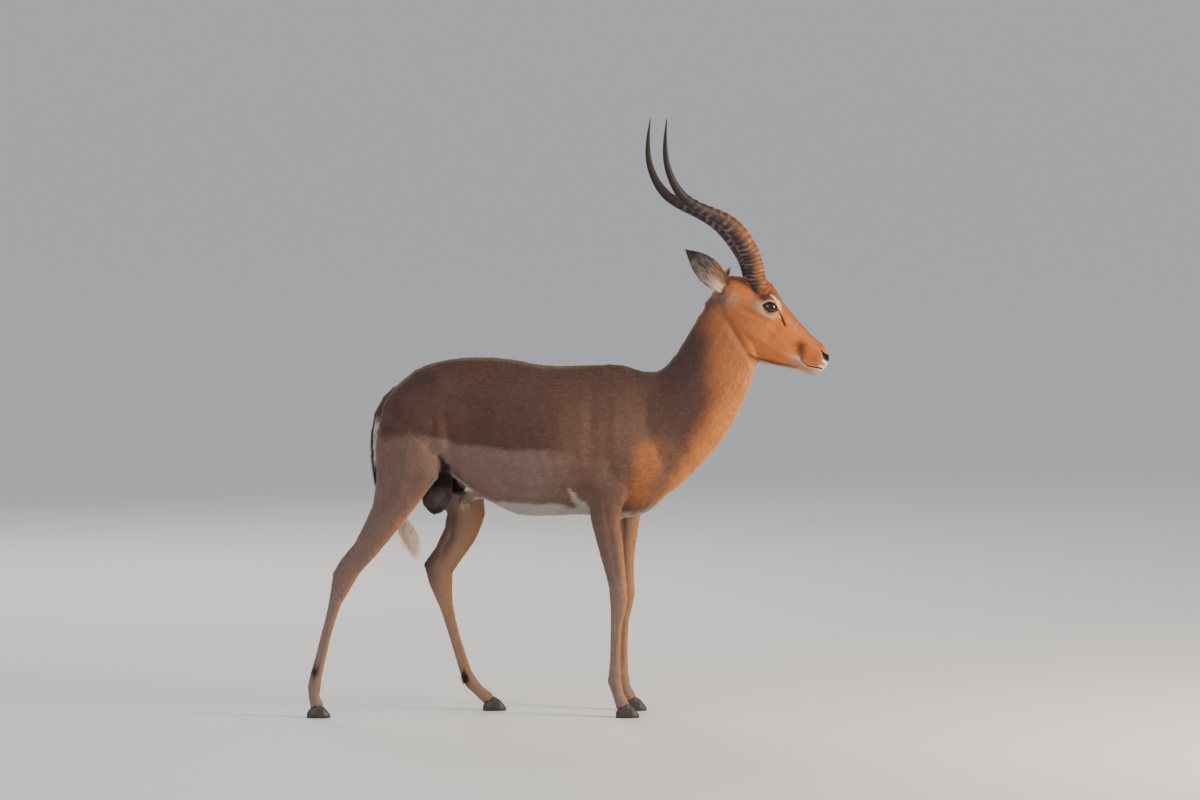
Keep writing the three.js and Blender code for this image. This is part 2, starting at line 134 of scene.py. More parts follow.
# %% Shell helpers
FLESH = ["trunk", "neck", "head", "tail", "scrotum", "ear_right", "ear_left"]
FLESH += [leg + side for leg in ("foreleg_", "hindleg_") for side in ("right", "left")]
SWELL = 0.8 * MM


def merged_copy(nodes, swell=0.0):
    """A bmesh copy of some nodes of the frame, each closed and grown along its normals."""
    bm = bmesh.new()
    for node in nodes:
        bm.from_mesh(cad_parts[node].data)
    bmesh.ops.remove_doubles(bm, verts=bm.verts, dist=0.01 * MM)
    bm.normal_update()
    for vert in bm.verts:
        vert.co += vert.normal * swell
    return bm


def apply_modifiers(piece):
    """Replaces a piece's mesh with what its modifiers make of it."""
    graph = bpy.context.evaluated_depsgraph_get()
    finished = bpy.data.meshes.new_from_object(piece.evaluated_get(graph))
    piece.modifiers.clear()
    old, piece.data = piece.data, finished
    bpy.data.meshes.remove(old)
    return piece


def piece_of(name, bm):
    mesh = bpy.data.meshes.new(name)
    bm.to_mesh(mesh)
    bm.free()
    return new_object(name, mesh)


def remeshed(name, nodes, cell):
    piece = piece_of(name, merged_copy(nodes, SWELL))
    remesh = piece.modifiers.new("cells", "REMESH")
    remesh.mode = "VOXEL"
    remesh.voxel_size = cell
    return apply_modifiers(piece)


def points_of(mesh):
    points = np.empty(len(mesh.vertices) * 3)
    mesh.vertices.foreach_get("co", points)
    return points.reshape(-1, 3)


def normals_of(mesh):
    normals = np.empty(len(mesh.vertices) * 3)
    mesh.vertex_normals.foreach_get("vector", normals)
    return normals.reshape(-1, 3)


def edges_of(mesh):
    pairs = np.empty(len(mesh.edges) * 2, np.int32)
    mesh.edges.foreach_get("vertices", pairs)
    return pairs.reshape(-1, 2)


def set_points(mesh, points):
    mesh.vertices.foreach_set("co", np.ascontiguousarray(points, np.float32).ravel())
    mesh.update()


def shade_smooth(mesh):
    mesh.polygons.foreach_set("use_smooth", np.ones(len(mesh.polygons), bool))


def relax(points, pairs, rounds, pulls=(0.5, -0.53), weight=None):
    """Evens out facets. A pull in and a push out by turns keep thin legs from shrinking."""
    count = len(points)
    degree = np.maximum(np.bincount(pairs.ravel(), minlength=count), 1)[:, None]
    for _ in range(rounds):
        for pull in pulls:
            total = np.stack(
                [
                    np.bincount(pairs[:, 0], points[pairs[:, 1], axis], count)
                    + np.bincount(pairs[:, 1], points[pairs[:, 0], axis], count)
                    for axis in range(3)
                ],
                axis=1,
            )
            step = pull * (total / degree - points)
            points = points + (step if weight is None else step * weight[:, None])
    return points


# %% Remesh and even out
NECK_RING_AT = np.array((370, 0, 920)) * MM
NECK_RING_AHEAD = np.array((0.6, 0, 0.8))
BODY_CELL = 4.0 * MM
HEAD_CELL = 2.1 * MM
BODY_SHARE = 0.52


def smoothed_shell(name, nodes, cell, rounds):
    shell = remeshed(name, nodes, cell)
    set_points(shell.data, relax(points_of(shell.data), edges_of(shell.data), rounds))
    return shell


def keep_side(bm, at, ahead, far):
    """Cuts a bmesh at a plane and keeps one side, with an open ring of edges."""
    geometry = bm.verts[:] + bm.edges[:] + bm.faces[:]
    bmesh.ops.bisect_plane(
        bm, geom=geometry, plane_co=at, plane_no=ahead, clear_outer=not far, clear_inner=far
    )


body_shell = smoothed_shell("body_shell", [n for n in FLESH if "ear" not in n], BODY_CELL, 26)
thin = body_shell.modifiers.new("thin", "DECIMATE")
thin.ratio = BODY_SHARE
apply_modifiers(body_shell)
head_nodes = ["head", "neck", "ear_right", "ear_left", "eye_right", "eye_left"]
head_shell = smoothed_shell("head_shell", head_nodes, HEAD_CELL, 14)
print("shells", len(body_shell.data.polygons), len(head_shell.data.polygons))

# %% [markdown]
# ## The skin, second step: one closed mesh
# Both shells are cut square across the neck, a few millimetres apart, and the two open rings are
# bridged. Crumbs inside the body, such as the walls of the hairline gaps, are dropped by keeping
# the largest connected island.

# %% Join the shells
RING_GAP = 5 * MM


def largest_island(bm):
    """Deletes every connected island but the largest."""
    left = set(bm.verts)
    islands = []
    while left:
        seed = left.pop()
        island, queue = {seed}, [seed]
        while queue:
            for edge in queue.pop().link_edges:
                for vert in edge.verts:
                    if vert in left:
                        left.discard(vert)
                        island.add(vert)
                        queue.append(vert)
        islands.append(island)
    islands.sort(key=len)
    for island in islands[:-1]:
        bmesh.ops.delete(bm, geom=list(island), context="VERTS")


skin_bm = bmesh.new()
for shell, far in ((body_shell, False), (head_shell, True)):
    part = bmesh.new()
    part.from_mesh(shell.data)
    at = NECK_RING_AT + NECK_RING_AHEAD * (RING_GAP / 2 if far else -RING_GAP / 2)
    keep_side(part, at, NECK_RING_AHEAD, far)
    largest_island(part)
    carrier = bpy.data.meshes.new("part")
    part.to_mesh(carrier)
    part.free()
    skin_bm.from_mesh(carrier)
    bpy.data.meshes.remove(carrier)
    bpy.data.objects.remove(shell)
open_edges = [edge for edge in skin_bm.edges if edge.is_boundary]
bmesh.ops.bridge_loops(skin_bm, edges=open_edges)
bmesh.ops.triangulate(skin_bm, faces=[f for f in skin_bm.faces if len(f.verts) > 4])
bmesh.ops.recalc_face_normals(skin_bm, faces=skin_bm.faces)
open_left = sum(edge.is_boundary for edge in skin_bm.edges)
skin = piece_of("skin", skin_bm)
print("skin", len(skin.data.vertices), "open edges", len(open_edges), "->", open_left)

# %% Even out the ring on the neck
RING_REACH = 20 * MM


def relax_skin(rounds, pulls=(0.5, -0.53), weight=None):
    set_points(skin.data, relax(points_of(skin.data), edges_of(skin.data), rounds, pulls, weight))


ring_distance = np.abs((points_of(skin.data) - NECK_RING_AT) @ NECK_RING_AHEAD)
ring_weight = np.clip(1.6 - ring_distance / RING_REACH, 0, 1)
relax_skin(20, weight=ring_weight)
shade_smooth(skin.data)

# %% [markdown]
# ## Finer cells on the face
# Lids, lips, nostrils and the slit of the scent gland need far smaller faces than a cheek does, so
# only the edges near them are split. Every place is named in the head's own frame, in millimetres:
# x along the head to the nose, z up, and y out to either side.

# %% Places on the face
MOUTH_LINE = [(174, -28), (178, -31), (186, -34), (200, -34.5), (213, -31.5), (225, -27.5), (238, -24)]
GLAND_SLIT = [(70, 47), (77.5, 42), (89, 32.5), (101, 24)]
NOSTRIL = [(212, 16), (219, 12), (227, 8), (235, 6)]
BROW_ARC = [(24, 76), (38, 74), (52, 68), (62, 58), (70, 47), (79, 37)]


def smooth_step(low, high, value):
    share = np.clip((value - low) / (high - low), 0, 1)
    return share * share * (3 - 2 * share)


def bell(distance, width):
    return np.exp(-((distance / width) ** 2))


def spot(x, z, at_x, at_z, long, tall):
    """A soft oval spot in side view."""
    return bell(x - at_x, long) * bell(z - at_z, tall)


def near_path(x, z, path):
    """Distance from a broken line in side view, and the share of its length at the nearest spot."""
    path = np.asarray(path, float)
    lengths = np.linalg.norm(np.diff(path, axis=0), axis=1)
    distance, share, done = np.full(len(x), 1e9), np.zeros(len(x)), 0.0
    for start, end, length in zip(path[:-1], path[1:], lengths):
        step = (end - start) / length
        run = np.clip((x - start[0]) * step[0] + (z - start[1]) * step[1], 0, length)
        far = np.hypot(x - start[0] - run * step[0], z - start[1] - run * step[1])
        share = np.where(far < distance, (done + run) / lengths.sum(), share)
        distance = np.minimum(far, distance)
        done += length
    return distance, share


def split_cells(mesh, chosen):
    """Splits every edge whose two ends are both chosen."""
    bm = bmesh.new()
    bm.from_mesh(mesh)
    edges = [edge for edge in bm.edges if all(chosen[vert.index] for vert in edge.verts)]
    bmesh.ops.subdivide_edges(bm, edges=edges, cuts=1, use_grid_fill=True)
    bm.to_mesh(mesh)
    bm.free()


def face_places(points):
    """Head-frame coordinates in millimetres, with y folded to one side."""
    head = to_head(points) / MM
    return head[:, 0], np.abs(head[:, 1]), head[:, 2]


EYE_SPOT = (41, 58, 47.5)


def from_eye(x, out, z):
    """Distance in millimetres from a place on the lids' surface."""
    return np.hypot(np.hypot(x - EYE_SPOT[0], z - EYE_SPOT[2]), out - EYE_SPOT[1])


def near_details(points, reach):
    x, out, z = face_places(points)
    chosen = from_eye(x, out, z) < 27 * reach
    chosen |= (near_path(x, z, NOSTRIL)[0] < 11 * reach) & (x > 205) & (z > 0)
    chosen |= (near_path(x, z, MOUTH_LINE)[0] < 7 * reach) & (out < 45)
    chosen |= (near_path(x, z, GLAND_SLIT)[0] < 6 * reach) & (out > 25)
    return chosen


for reach in (1.0, 0.82):
    split_cells(skin.data, near_details(points_of(skin.data), reach))
detail_weight = near_details(points_of(skin.data), 1.1).astype(float)
relax_skin(6, weight=detail_weight)
print("skin with fine cells", len(skin.data.vertices))

# %% [markdown]
# ## Which part a point belongs to
# Coat depth, hair length and markings change from part to part. Each point of the skin takes the
# name of the nearest part of the construction model, and the borders are blurred over the skin so
# that nothing changes in a step.

# %% Region masks
region_bm = bmesh.new()
region_of_face = []
for node in FLESH:
    region_bm.from_mesh(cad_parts[node].data)
    region_of_face += [node] * (len(region_bm.faces) - len(region_of_face))
region_tree = BVHTree.FromBMesh(region_bm)
region_bm.free()


def blurred(values, pairs, rounds):
    return relax(values.reshape(len(values), -1)[:, [0, 0, 0]], pairs, rounds, pulls=(0.6,))[:, 0]


def region_masks(mesh):
    nearest = [region_of_face[region_tree.find_nearest(vert.co)[2]] for vert in mesh.vertices]
    nearest = np.array(nearest)
    pairs = edges_of(mesh)
    kinds = {"head": 14, "neck": 20, "trunk": 20, "leg": 12, "tail": 3, "scrotum": 3, "ear": 3}
    masks = {}
    for kind, rounds in kinds.items():
        inside = np.char.find(nearest, kind) >= 0
        masks[kind] = np.clip(blurred(inside.astype(float), pairs, rounds), 0, 1)
    for side in ("right", "left"):
        masks["hind_" + side] = (nearest == "hindleg_" + side).astype(float)
        masks["fore_" + side] = (nearest == "foreleg_" + side).astype(float)
        masks["ear_" + side] = (nearest == "ear_" + side).astype(float)
    return masks


regions = region_masks(skin.data)
print({kind: int(mask.sum()) for kind, mask in regions.items()})

# %% Soften the joints
# x and z of hollows that would keep a corner, in millimetres
JOINT_HOLLOWS = [(243, 575), (212, 868), (-212, 528)]
HOLLOW_LONG, HOLLOW_TALL = 45, 42
SMOOTHING, FACET_PULLS = (0.5,), (0.5, -0.515)
THROAT_END, CROWN_LOW, CROWN_HALF = 505, 1055, 34
joint_weight = np.clip(4 * regions["neck"] * (1 - regions["neck"]), 0, 1) * (1 - regions["head"])
at_x, at_y, at_z = (points_of(skin.data) / MM).T
for hollow_x, hollow_z in JOINT_HOLLOWS:
    hollow = bell(at_x - hollow_x, HOLLOW_LONG) * bell(at_z - hollow_z, HOLLOW_TALL)
    joint_weight = joint_weight + hollow
relax_skin(90, SMOOTHING, np.clip(joint_weight, 0, 1))
upper_leg = 0.9 * regions["leg"] * smooth_step(260, 420, at_z)
facet_weight = np.clip(regions["trunk"] + regions["neck"] + upper_leg, 0, 1)
relax_skin(110, FACET_PULLS, facet_weight)
wide_head = blurred(regions["head"], edges_of(skin.data), 50)
head_joint = np.clip(5 * wide_head * (1 - wide_head), 0, 1) * (at_x < THROAT_END)
head_joint = head_joint * ((at_z < CROWN_LOW) | (np.abs(at_y) < CROWN_HALF))
relax_skin(130, SMOOTHING, head_joint)

# %% [markdown]
# ## Sinking the skin under the coat
# The construction model runs out to the hair tips, so the skin goes in by the depth of the coat:
# most on the neck, less on the barrel, least on the ears and the lower legs.

# %% Coat depth
depth = (
    2.6
    + 0.9 * regions["neck"]
    - 1.2 * regions["leg"]
    - 1.3 * regions["head"]
    - 1.7 * regions["ear"]
    - 1.2 * regions["scrotum"]
)
low_leg = 1 - smooth_step(0.20, 0.42, points_of(skin.data)[:, 2])
depth = np.clip(depth - 0.5 * low_leg, 0.7, 4) * MM
set_points(skin.data, points_of(skin.data) - normals_of(skin.data) * (depth + SWELL)[:, None])

# %% [markdown]
# ## Modelling the body
# Muscle, bone and tendon show through a short coat as broad soft swellings and narrow hollows. Each
# is a bell-shaped push along the normal, placed in side view, and acts on both sides.

# %% Swellings and hollows of the body
# x, z, length, height, out, all in millimetres
BODY_FORMS = [
    (98, 846, 50, 20, 2.5),
    (58, 742, 15, 80, -3.0),
    (118, 742, 12, 86, 2.0),
    (152, 668, 42, 42, 4.0),
    (66, 610, 30, 30, 4.5),
    (104, 640, 16, 46, -2.0),
    (-332, 866, 26, 18, 5.0),
    (-262, 806, 60, 24, -4.0),
    (-296, 700, 18, 60, -4.0),
    (-372, 826, 46, 26, -2.5),
    (-418, 800, 24, 40, 2.5),
    (-60, 850, 90, 16, -2.0),
]
# path in side view, width, out, and the parts it may act on
BODY_LINES = [
    ([(446, 905), (408, 812), (345, 722), (280, 655)], 15, -3.0, ["neck", "trunk"]),
    ([(352, 1010), (300, 905), (246, 850)], 16, -2.0, ["neck"]),
    ([(160, 846), (186, 760), (196, 690), (178, 620)], 20, -1.3, ["trunk"]),
    ([(-338, 800), (-348, 712), (-378, 622), (-432, 556)], 12, -2.8, ["hind_right", "trunk"]),
    ([(-440, 800), (-452, 700), (-455, 620), (-480, 545)], 9, -2.6, ["hind_right", "trunk"]),
    ([(-482, 540), (-508, 488), (-546, 432), (-574, 394)], 7, -3.6, ["hind_right"]),
    ([(-318, 800), (-306, 712), (-298, 632), (-284, 566)], 12, -2.8, ["hind_left", "trunk"]),
    ([(-326, 562), (-297, 506), (-304, 452), (-333, 402)], 7, -3.6, ["hind_left"]),
    ([(-596, 300), (-608, 256), (-622, 205), (-634, 152), (-643, 114)], 3.2, -2.0, ["hind_right"]),
    ([(-316, 300), (-306, 250), (-293, 200), (-280, 150), (-268, 114)], 3.2, -2.0, ["hind_left"]),
    ([(124, 258), (118, 190), (116, 118)], 3.0, -1.8, ["fore_right"]),
    ([(143, 258), (137, 190), (135, 118)], 3.0, -1.8, ["fore_left"]),
    ([(92, 560), (103, 480), (116, 400), (126, 342)], 7, -2.2, ["fore_right"]),
    ([(142, 560), (140, 480), (140, 400), (146, 342)], 7, -2.2, ["fore_left"]),
]
RIB_SPACING = 34
RIB_RISE = 0.35


def body_relief(points, normals):
    x, _, z = (points / MM).T
    sideways = np.abs(normals[:, 1])
    push = np.zeros(len(x))
    trunk_only = 1 - regions["head"]
    for at_x, at_z, long, tall, out in BODY_FORMS:
        push += out * bell(x - at_x, long) * bell(z - at_z, tall) * trunk_only
    for path, width, out, parts in BODY_LINES:
        distance, share = near_path(x, z, path)
        ends = smooth_step(0, 0.15, share) * smooth_step(0, 0.15, 1 - share)
        allowed = np.clip(sum(regions[part] for part in parts), 0, 1)
        push += out * bell(distance, width) * ends * allowed
    ribs = np.cos(2 * math.pi * (x + 0.35 * z) / RIB_SPACING)
    cage = spot(x, z, -60, 690, 110, 90) * regions["trunk"]
    return (push + RIB_RISE * ribs * cage) * sideways ** 0.5


# x, z, length, height, out, for swellings of the outline itself
OUTLINE_FORMS = [(212, 868, 32, 34, 9.0), (262, 590, 30, 30, 6.0), (368, 1064, 24, 30, 13.0)]
OUTLINE_FORMS += [(430, 1130, 24, 22, -7.0)]
OUTLINE_WIDE, BUTTOCK_RISE = 60, 15.0
normals = normals_of(skin.data)
relief = body_relief(points_of(skin.data), normals)
at_x, at_y, at_z = (points_of(skin.data) / MM).T
for form_x, form_z, long, tall, out in OUTLINE_FORMS:
    relief = relief + out * bell(at_x - form_x, long) * bell(at_z - form_z, tall) * bell(at_y, OUTLINE_WIDE)
buttock = bell(at_x + 452, 46) * bell(at_z - 792, 62) * bell(np.abs(at_y) - 58, 36)
relief = relief + BUTTOCK_RISE * (buttock * regions["trunk"])
set_points(skin.data, points_of(skin.data) + normals * (relief * MM)[:, None])
print("body relief", round(relief.min(), 1), round(relief.max(), 1), "mm")

# %% [markdown]
# ## Modelling the face
# The same bells shape brow, cheek and muzzle. Lips, the gland slit and the nostrils are narrow
# grooves along named lines. The lids are laid over the eyeball: outside an almond outline the skin
# is lifted to just over the ball, and inside it the skin sinks behind the ball, so the real edge
# of a lid is left standing round the eye.

# %% The face
# x, z, length, height, out
FACE_FORMS = [
    (42, 74, 24, 8, 4.0),
    (18, 66, 12, 12, 1.5),
    (-4, 72, 20, 12, 4.5),
    (-14, 62, 24, 20, -3.5),
    (40, 24, 26, 7, 2.6),
    (2, 22, 22, 8, 2.2),
    (18, -36, 34, 30, 3.2),
    (70, 4, 16, 34, -3.2),
    (88, 40, 9, 9, 1.6),
    (150, -12, 34, 18, -2.4),
    (214, -16, 20, 12, 2.6),
    (212, -46, 18, 10, 1.8),
    (222, 22, 12, 8, 1.6),
]
FACE_LINES = [
    (MOUTH_LINE, 2.0, -4.2),
    ([(x, z + 5) for x, z in MOUTH_LINE], 4.0, 1.2),
    ([(x, z - 5) for x, z in MOUTH_LINE], 3.6, 0.8),
    (GLAND_SLIT, 1.9, -3.4),
    ([(120, 40), (165, 26), (205, 22)], 6, -1.4),
    ([(50, -80), (90, -76), (130, -68)], 5, 1.0),
]
# a line that ends beyond this x runs on into the lips at full depth
LIPS_FROM = 230
EYE_TILT = math.radians(15)
LID_HALF_LENGTH, LID_RISE, LID_DROP = 19.6, 10.6, 9.2
LID_THICKNESS = 1.9
NOSTRIL_DEPTH, NOSTRIL_RIM = 10, 1.1
BALL_SINK = 3.0


def eye_places(x, out, z):
    """Places round the eye: along and up the lids, and out from the ball's centre, in mm."""
    dx, dy, dz = x - EYE_AT.x / MM, out - EYE_AT.y / MM, z - EYE_AT.z / MM
    along = dx * math.cos(EYE_TILT) + dz * math.sin(EYE_TILT)
    up = -dx * math.sin(EYE_TILT) + dz * math.cos(EYE_TILT)
    return along, up, dy


def lid_margin(along, up):
    """Millimetres inside the almond outline of the lids, and below zero outside it."""
    reach = along / LID_HALF_LENGTH
    top = LID_RISE * (1 - np.abs(reach) ** 2.3) - 1.2 * reach
    bottom = -LID_DROP * (1 - np.abs(reach) ** 2.0) - 1.2 * reach
    inside = np.minimum(top - up, up - bottom)
    return np.minimum(inside, (LID_HALF_LENGTH - np.abs(along)) * 1.2)


def face_relief(points, normals):
    x, _, z = face_places(points)
    sideways = smooth_step(0.15, 0.7, np.abs((normals @ HEAD_TURN)[:, 1]))
    push = np.zeros(len(x))
    for at_x, at_z, long, tall, rise in FACE_FORMS:
        push += rise * bell(x - at_x, long) * bell(z - at_z, tall)
    for path, width, rise in FACE_LINES:
        distance, share = near_path(x, z, path)
        ends = smooth_step(0, 0.12, share)
        if path[-1][0] <= LIPS_FROM:
            ends = ends * smooth_step(0, 0.12, 1 - share)
        push += rise * bell(distance, width) * ends
    return push * sideways * regions["head"]


def carve_nostrils(points):
    x, out, z = face_places(points)
    distance, share = near_path(x, z, NOSTRIL)
    width = 1.6 + 4.6 * smooth_step(0.15, 0.9, share)
    local = (x > 205) * (out > 4)
    inside = (1 - smooth_step(0.55, 1.15, distance / width)) * local
    rim = bell(distance / width - 1.45, 0.35) * local
    head = to_head(points) / MM
    inwards = np.tile((-0.55, -0.8, -0.1), (len(x), 1))
    inwards[:, 1] *= np.sign(head[:, 1])
    head = head + inwards * (inside * NOSTRIL_DEPTH)[:, None] - inwards * (rim * NOSTRIL_RIM)[:, None]
    return from_head(head * MM)


def lay_lids(points):
    head = to_head(points) / MM
    side = np.sign(head[:, 1])
    along, up, forth = eye_places(head[:, 0], np.abs(head[:, 1]), head[:, 2])
    radius = np.sqrt(along**2 + up**2 + forth**2)
    ball = EYE_RADIUS / MM
    margin = lid_margin(along, up)
    local = (radius < 34) & (forth > -4)
    laid = ball + LID_THICKNESS + 0.5 * bell(margin + 5.5, 2.0) - 0.8 * bell(margin + 9, 2.2)
    sunk = ball - BALL_SINK - np.clip(margin, 0, 2)
    outside = np.where(radius > laid, radius + (laid - radius) * bell(np.minimum(margin, 0), 6.5), laid)
    hidden = smooth_step(-0.55, 0.45, margin)
    target = outside + (sunk - outside) * hidden
    scale = np.where(local, target / np.maximum(radius, 1), 1.0)
    centre = np.stack(
        [np.full(len(side), EYE_AT.x / MM), side * EYE_AT.y / MM, np.full(len(side), EYE_AT.z / MM)], axis=1
    )
    return from_head((centre + (head - centre) * scale[:, None]) * MM)


normals = normals_of(skin.data)
points = points_of(skin.data)
points = points + normals * (face_relief(points, normals) * MM)[:, None]
points = lay_lids(carve_nostrils(points))
set_points(skin.data, points)
x, out, z = face_places(points)
lid_zone = from_eye(x, out, z) < 34
points = relax(points, edges_of(skin.data), 2, weight=lid_zone * 0.7)
set_points(skin.data, points)
print("face modelled")

# %% [markdown]
# ## Markings as functions
# The colours of the coat are worked out from where a point sits, and only from that: a saddle
# line along the side, a belly line, bands measured on the neck and the head. The skin and every
# tuft of the coat ask the same function, so both carry the same markings.

# %% Colour helpers


def paint(red, green, blue):
    """A colour on the 0 to 255 scale as the linear values that materials use."""
    shown = np.array([red, green, blue]) / 255
    return np.where(shown <= 0.04045, shown / 12.92, ((shown + 0.055) / 1.055) ** 2.4)


def ripple(points, length, seed):
    """Smooth wandering values between -1 and 1, about one wave in each length."""
    dice = np.random.default_rng(seed)
    total = np.zeros(len(points))
    for _ in range(7):
        way = dice.normal(size=3)
        way *= dice.uniform(0.6, 1.5) / np.linalg.norm(way) / length
        total += np.sin(points @ way * 2 * math.pi + dice.uniform(0, 6.3))
    return total / 4.2


def lay_colour(under, colour, mask):
    return under + (np.asarray(colour) - under) * np.clip(mask, 0, 1)[:, None]


def start_colours(base, count):
    """Colours of one base tone, and a function that lays another tone over them by a mask."""
    colours = np.tile(base, (count, 1))

    def lay(colour, mask):
        colours[:] = lay_colour(colours, colour, mask)

    return colours, lay


def band(value, low, high, soft):
    return smooth_step(low - soft, low + soft, value) * (1 - smooth_step(high - soft, high + soft, value))


# %% Colours of the body
# The body's tones are partly the coat's own colours and partly painted shade: all are darker, greyer and
# cooler than a real impala's coat, and the white of the belly is greyed the same way.
SADDLE, SPINE, SHOULDER = paint(92, 65, 57), paint(84, 60, 53), paint(112, 83, 71)
FLANK, THIGH, BELLY = paint(133, 106, 97), paint(124, 96, 86), paint(186, 176, 172)
NAPE, NECK_SUN, THROAT = paint(94, 69, 61), paint(176, 110, 68), paint(214, 138, 74)
LEG_OUTER, LEG_INNER, LEG_SUNLIT_FRONT = paint(130, 104, 94), paint(160, 124, 98), paint(182, 124, 78)
LEG_LOW, LEG_PAINTED_SHADE, CHEST_SUN = paint(146, 120, 108), paint(98, 78, 74), paint(172, 108, 64)
# the black tone serves black hair and also painted shade in the groin
BLACK_HAIR_AND_SHADE, WHITE_HAIR, GREY_SKIN = paint(30, 24, 24), paint(236, 226, 214), paint(56, 50, 53)
SADDLE_LINE = [(-480, 706), (-430, 716), (-379, 722), (-328, 717), (-277, 704), (-226, 697)]
SADDLE_LINE += [(-175, 690), (-124, 687), (-73, 688), (-22, 682), (60, 668), (160, 650)]
BELLY_LINE = [(-330, 556), (-252, 566), (-213, 556), (-175, 550), (-73, 548), (-20, 545)]
BELLY_LINE += [(16, 538), (80, 530), (160, 520)]
CHEST_SUN_LINE = [(208, 672), (202, 630), (182, 574)]
ARMPIT_LINE = [(0, 590), (22, 562), (50, 522)]
FOLD_LINE = [(-306, 642), (-291, 612), (-275, 588), (-252, 568), (-210, 554)]
GROIN_SHADE_SLIT = [(-325, 670), (-316, 655), (-304, 636), (-300, 620)]
# the line across the neck where painted low sunlight meets painted shade, as a share across the neck at each
# height
NECK_SUN_EDGE = [(700, 0.74), (812, 0.55), (950, -0.08), (1010, -0.45)]
THIGH_EDGE = [(481, -423), (549, -377), (603, -336), (634, -325), (672, -330)]
FOLD_EDGE = [(500, -262), (572, -256), (588, -276), (610, -292), (637, -307), (672, -326)]
GLAND_SPOTS = [(-640, 118), (-262, 92)]


def line_height(x, line):
    return np.interp(x, [place[0] for place in line], [place[1] for place in line])


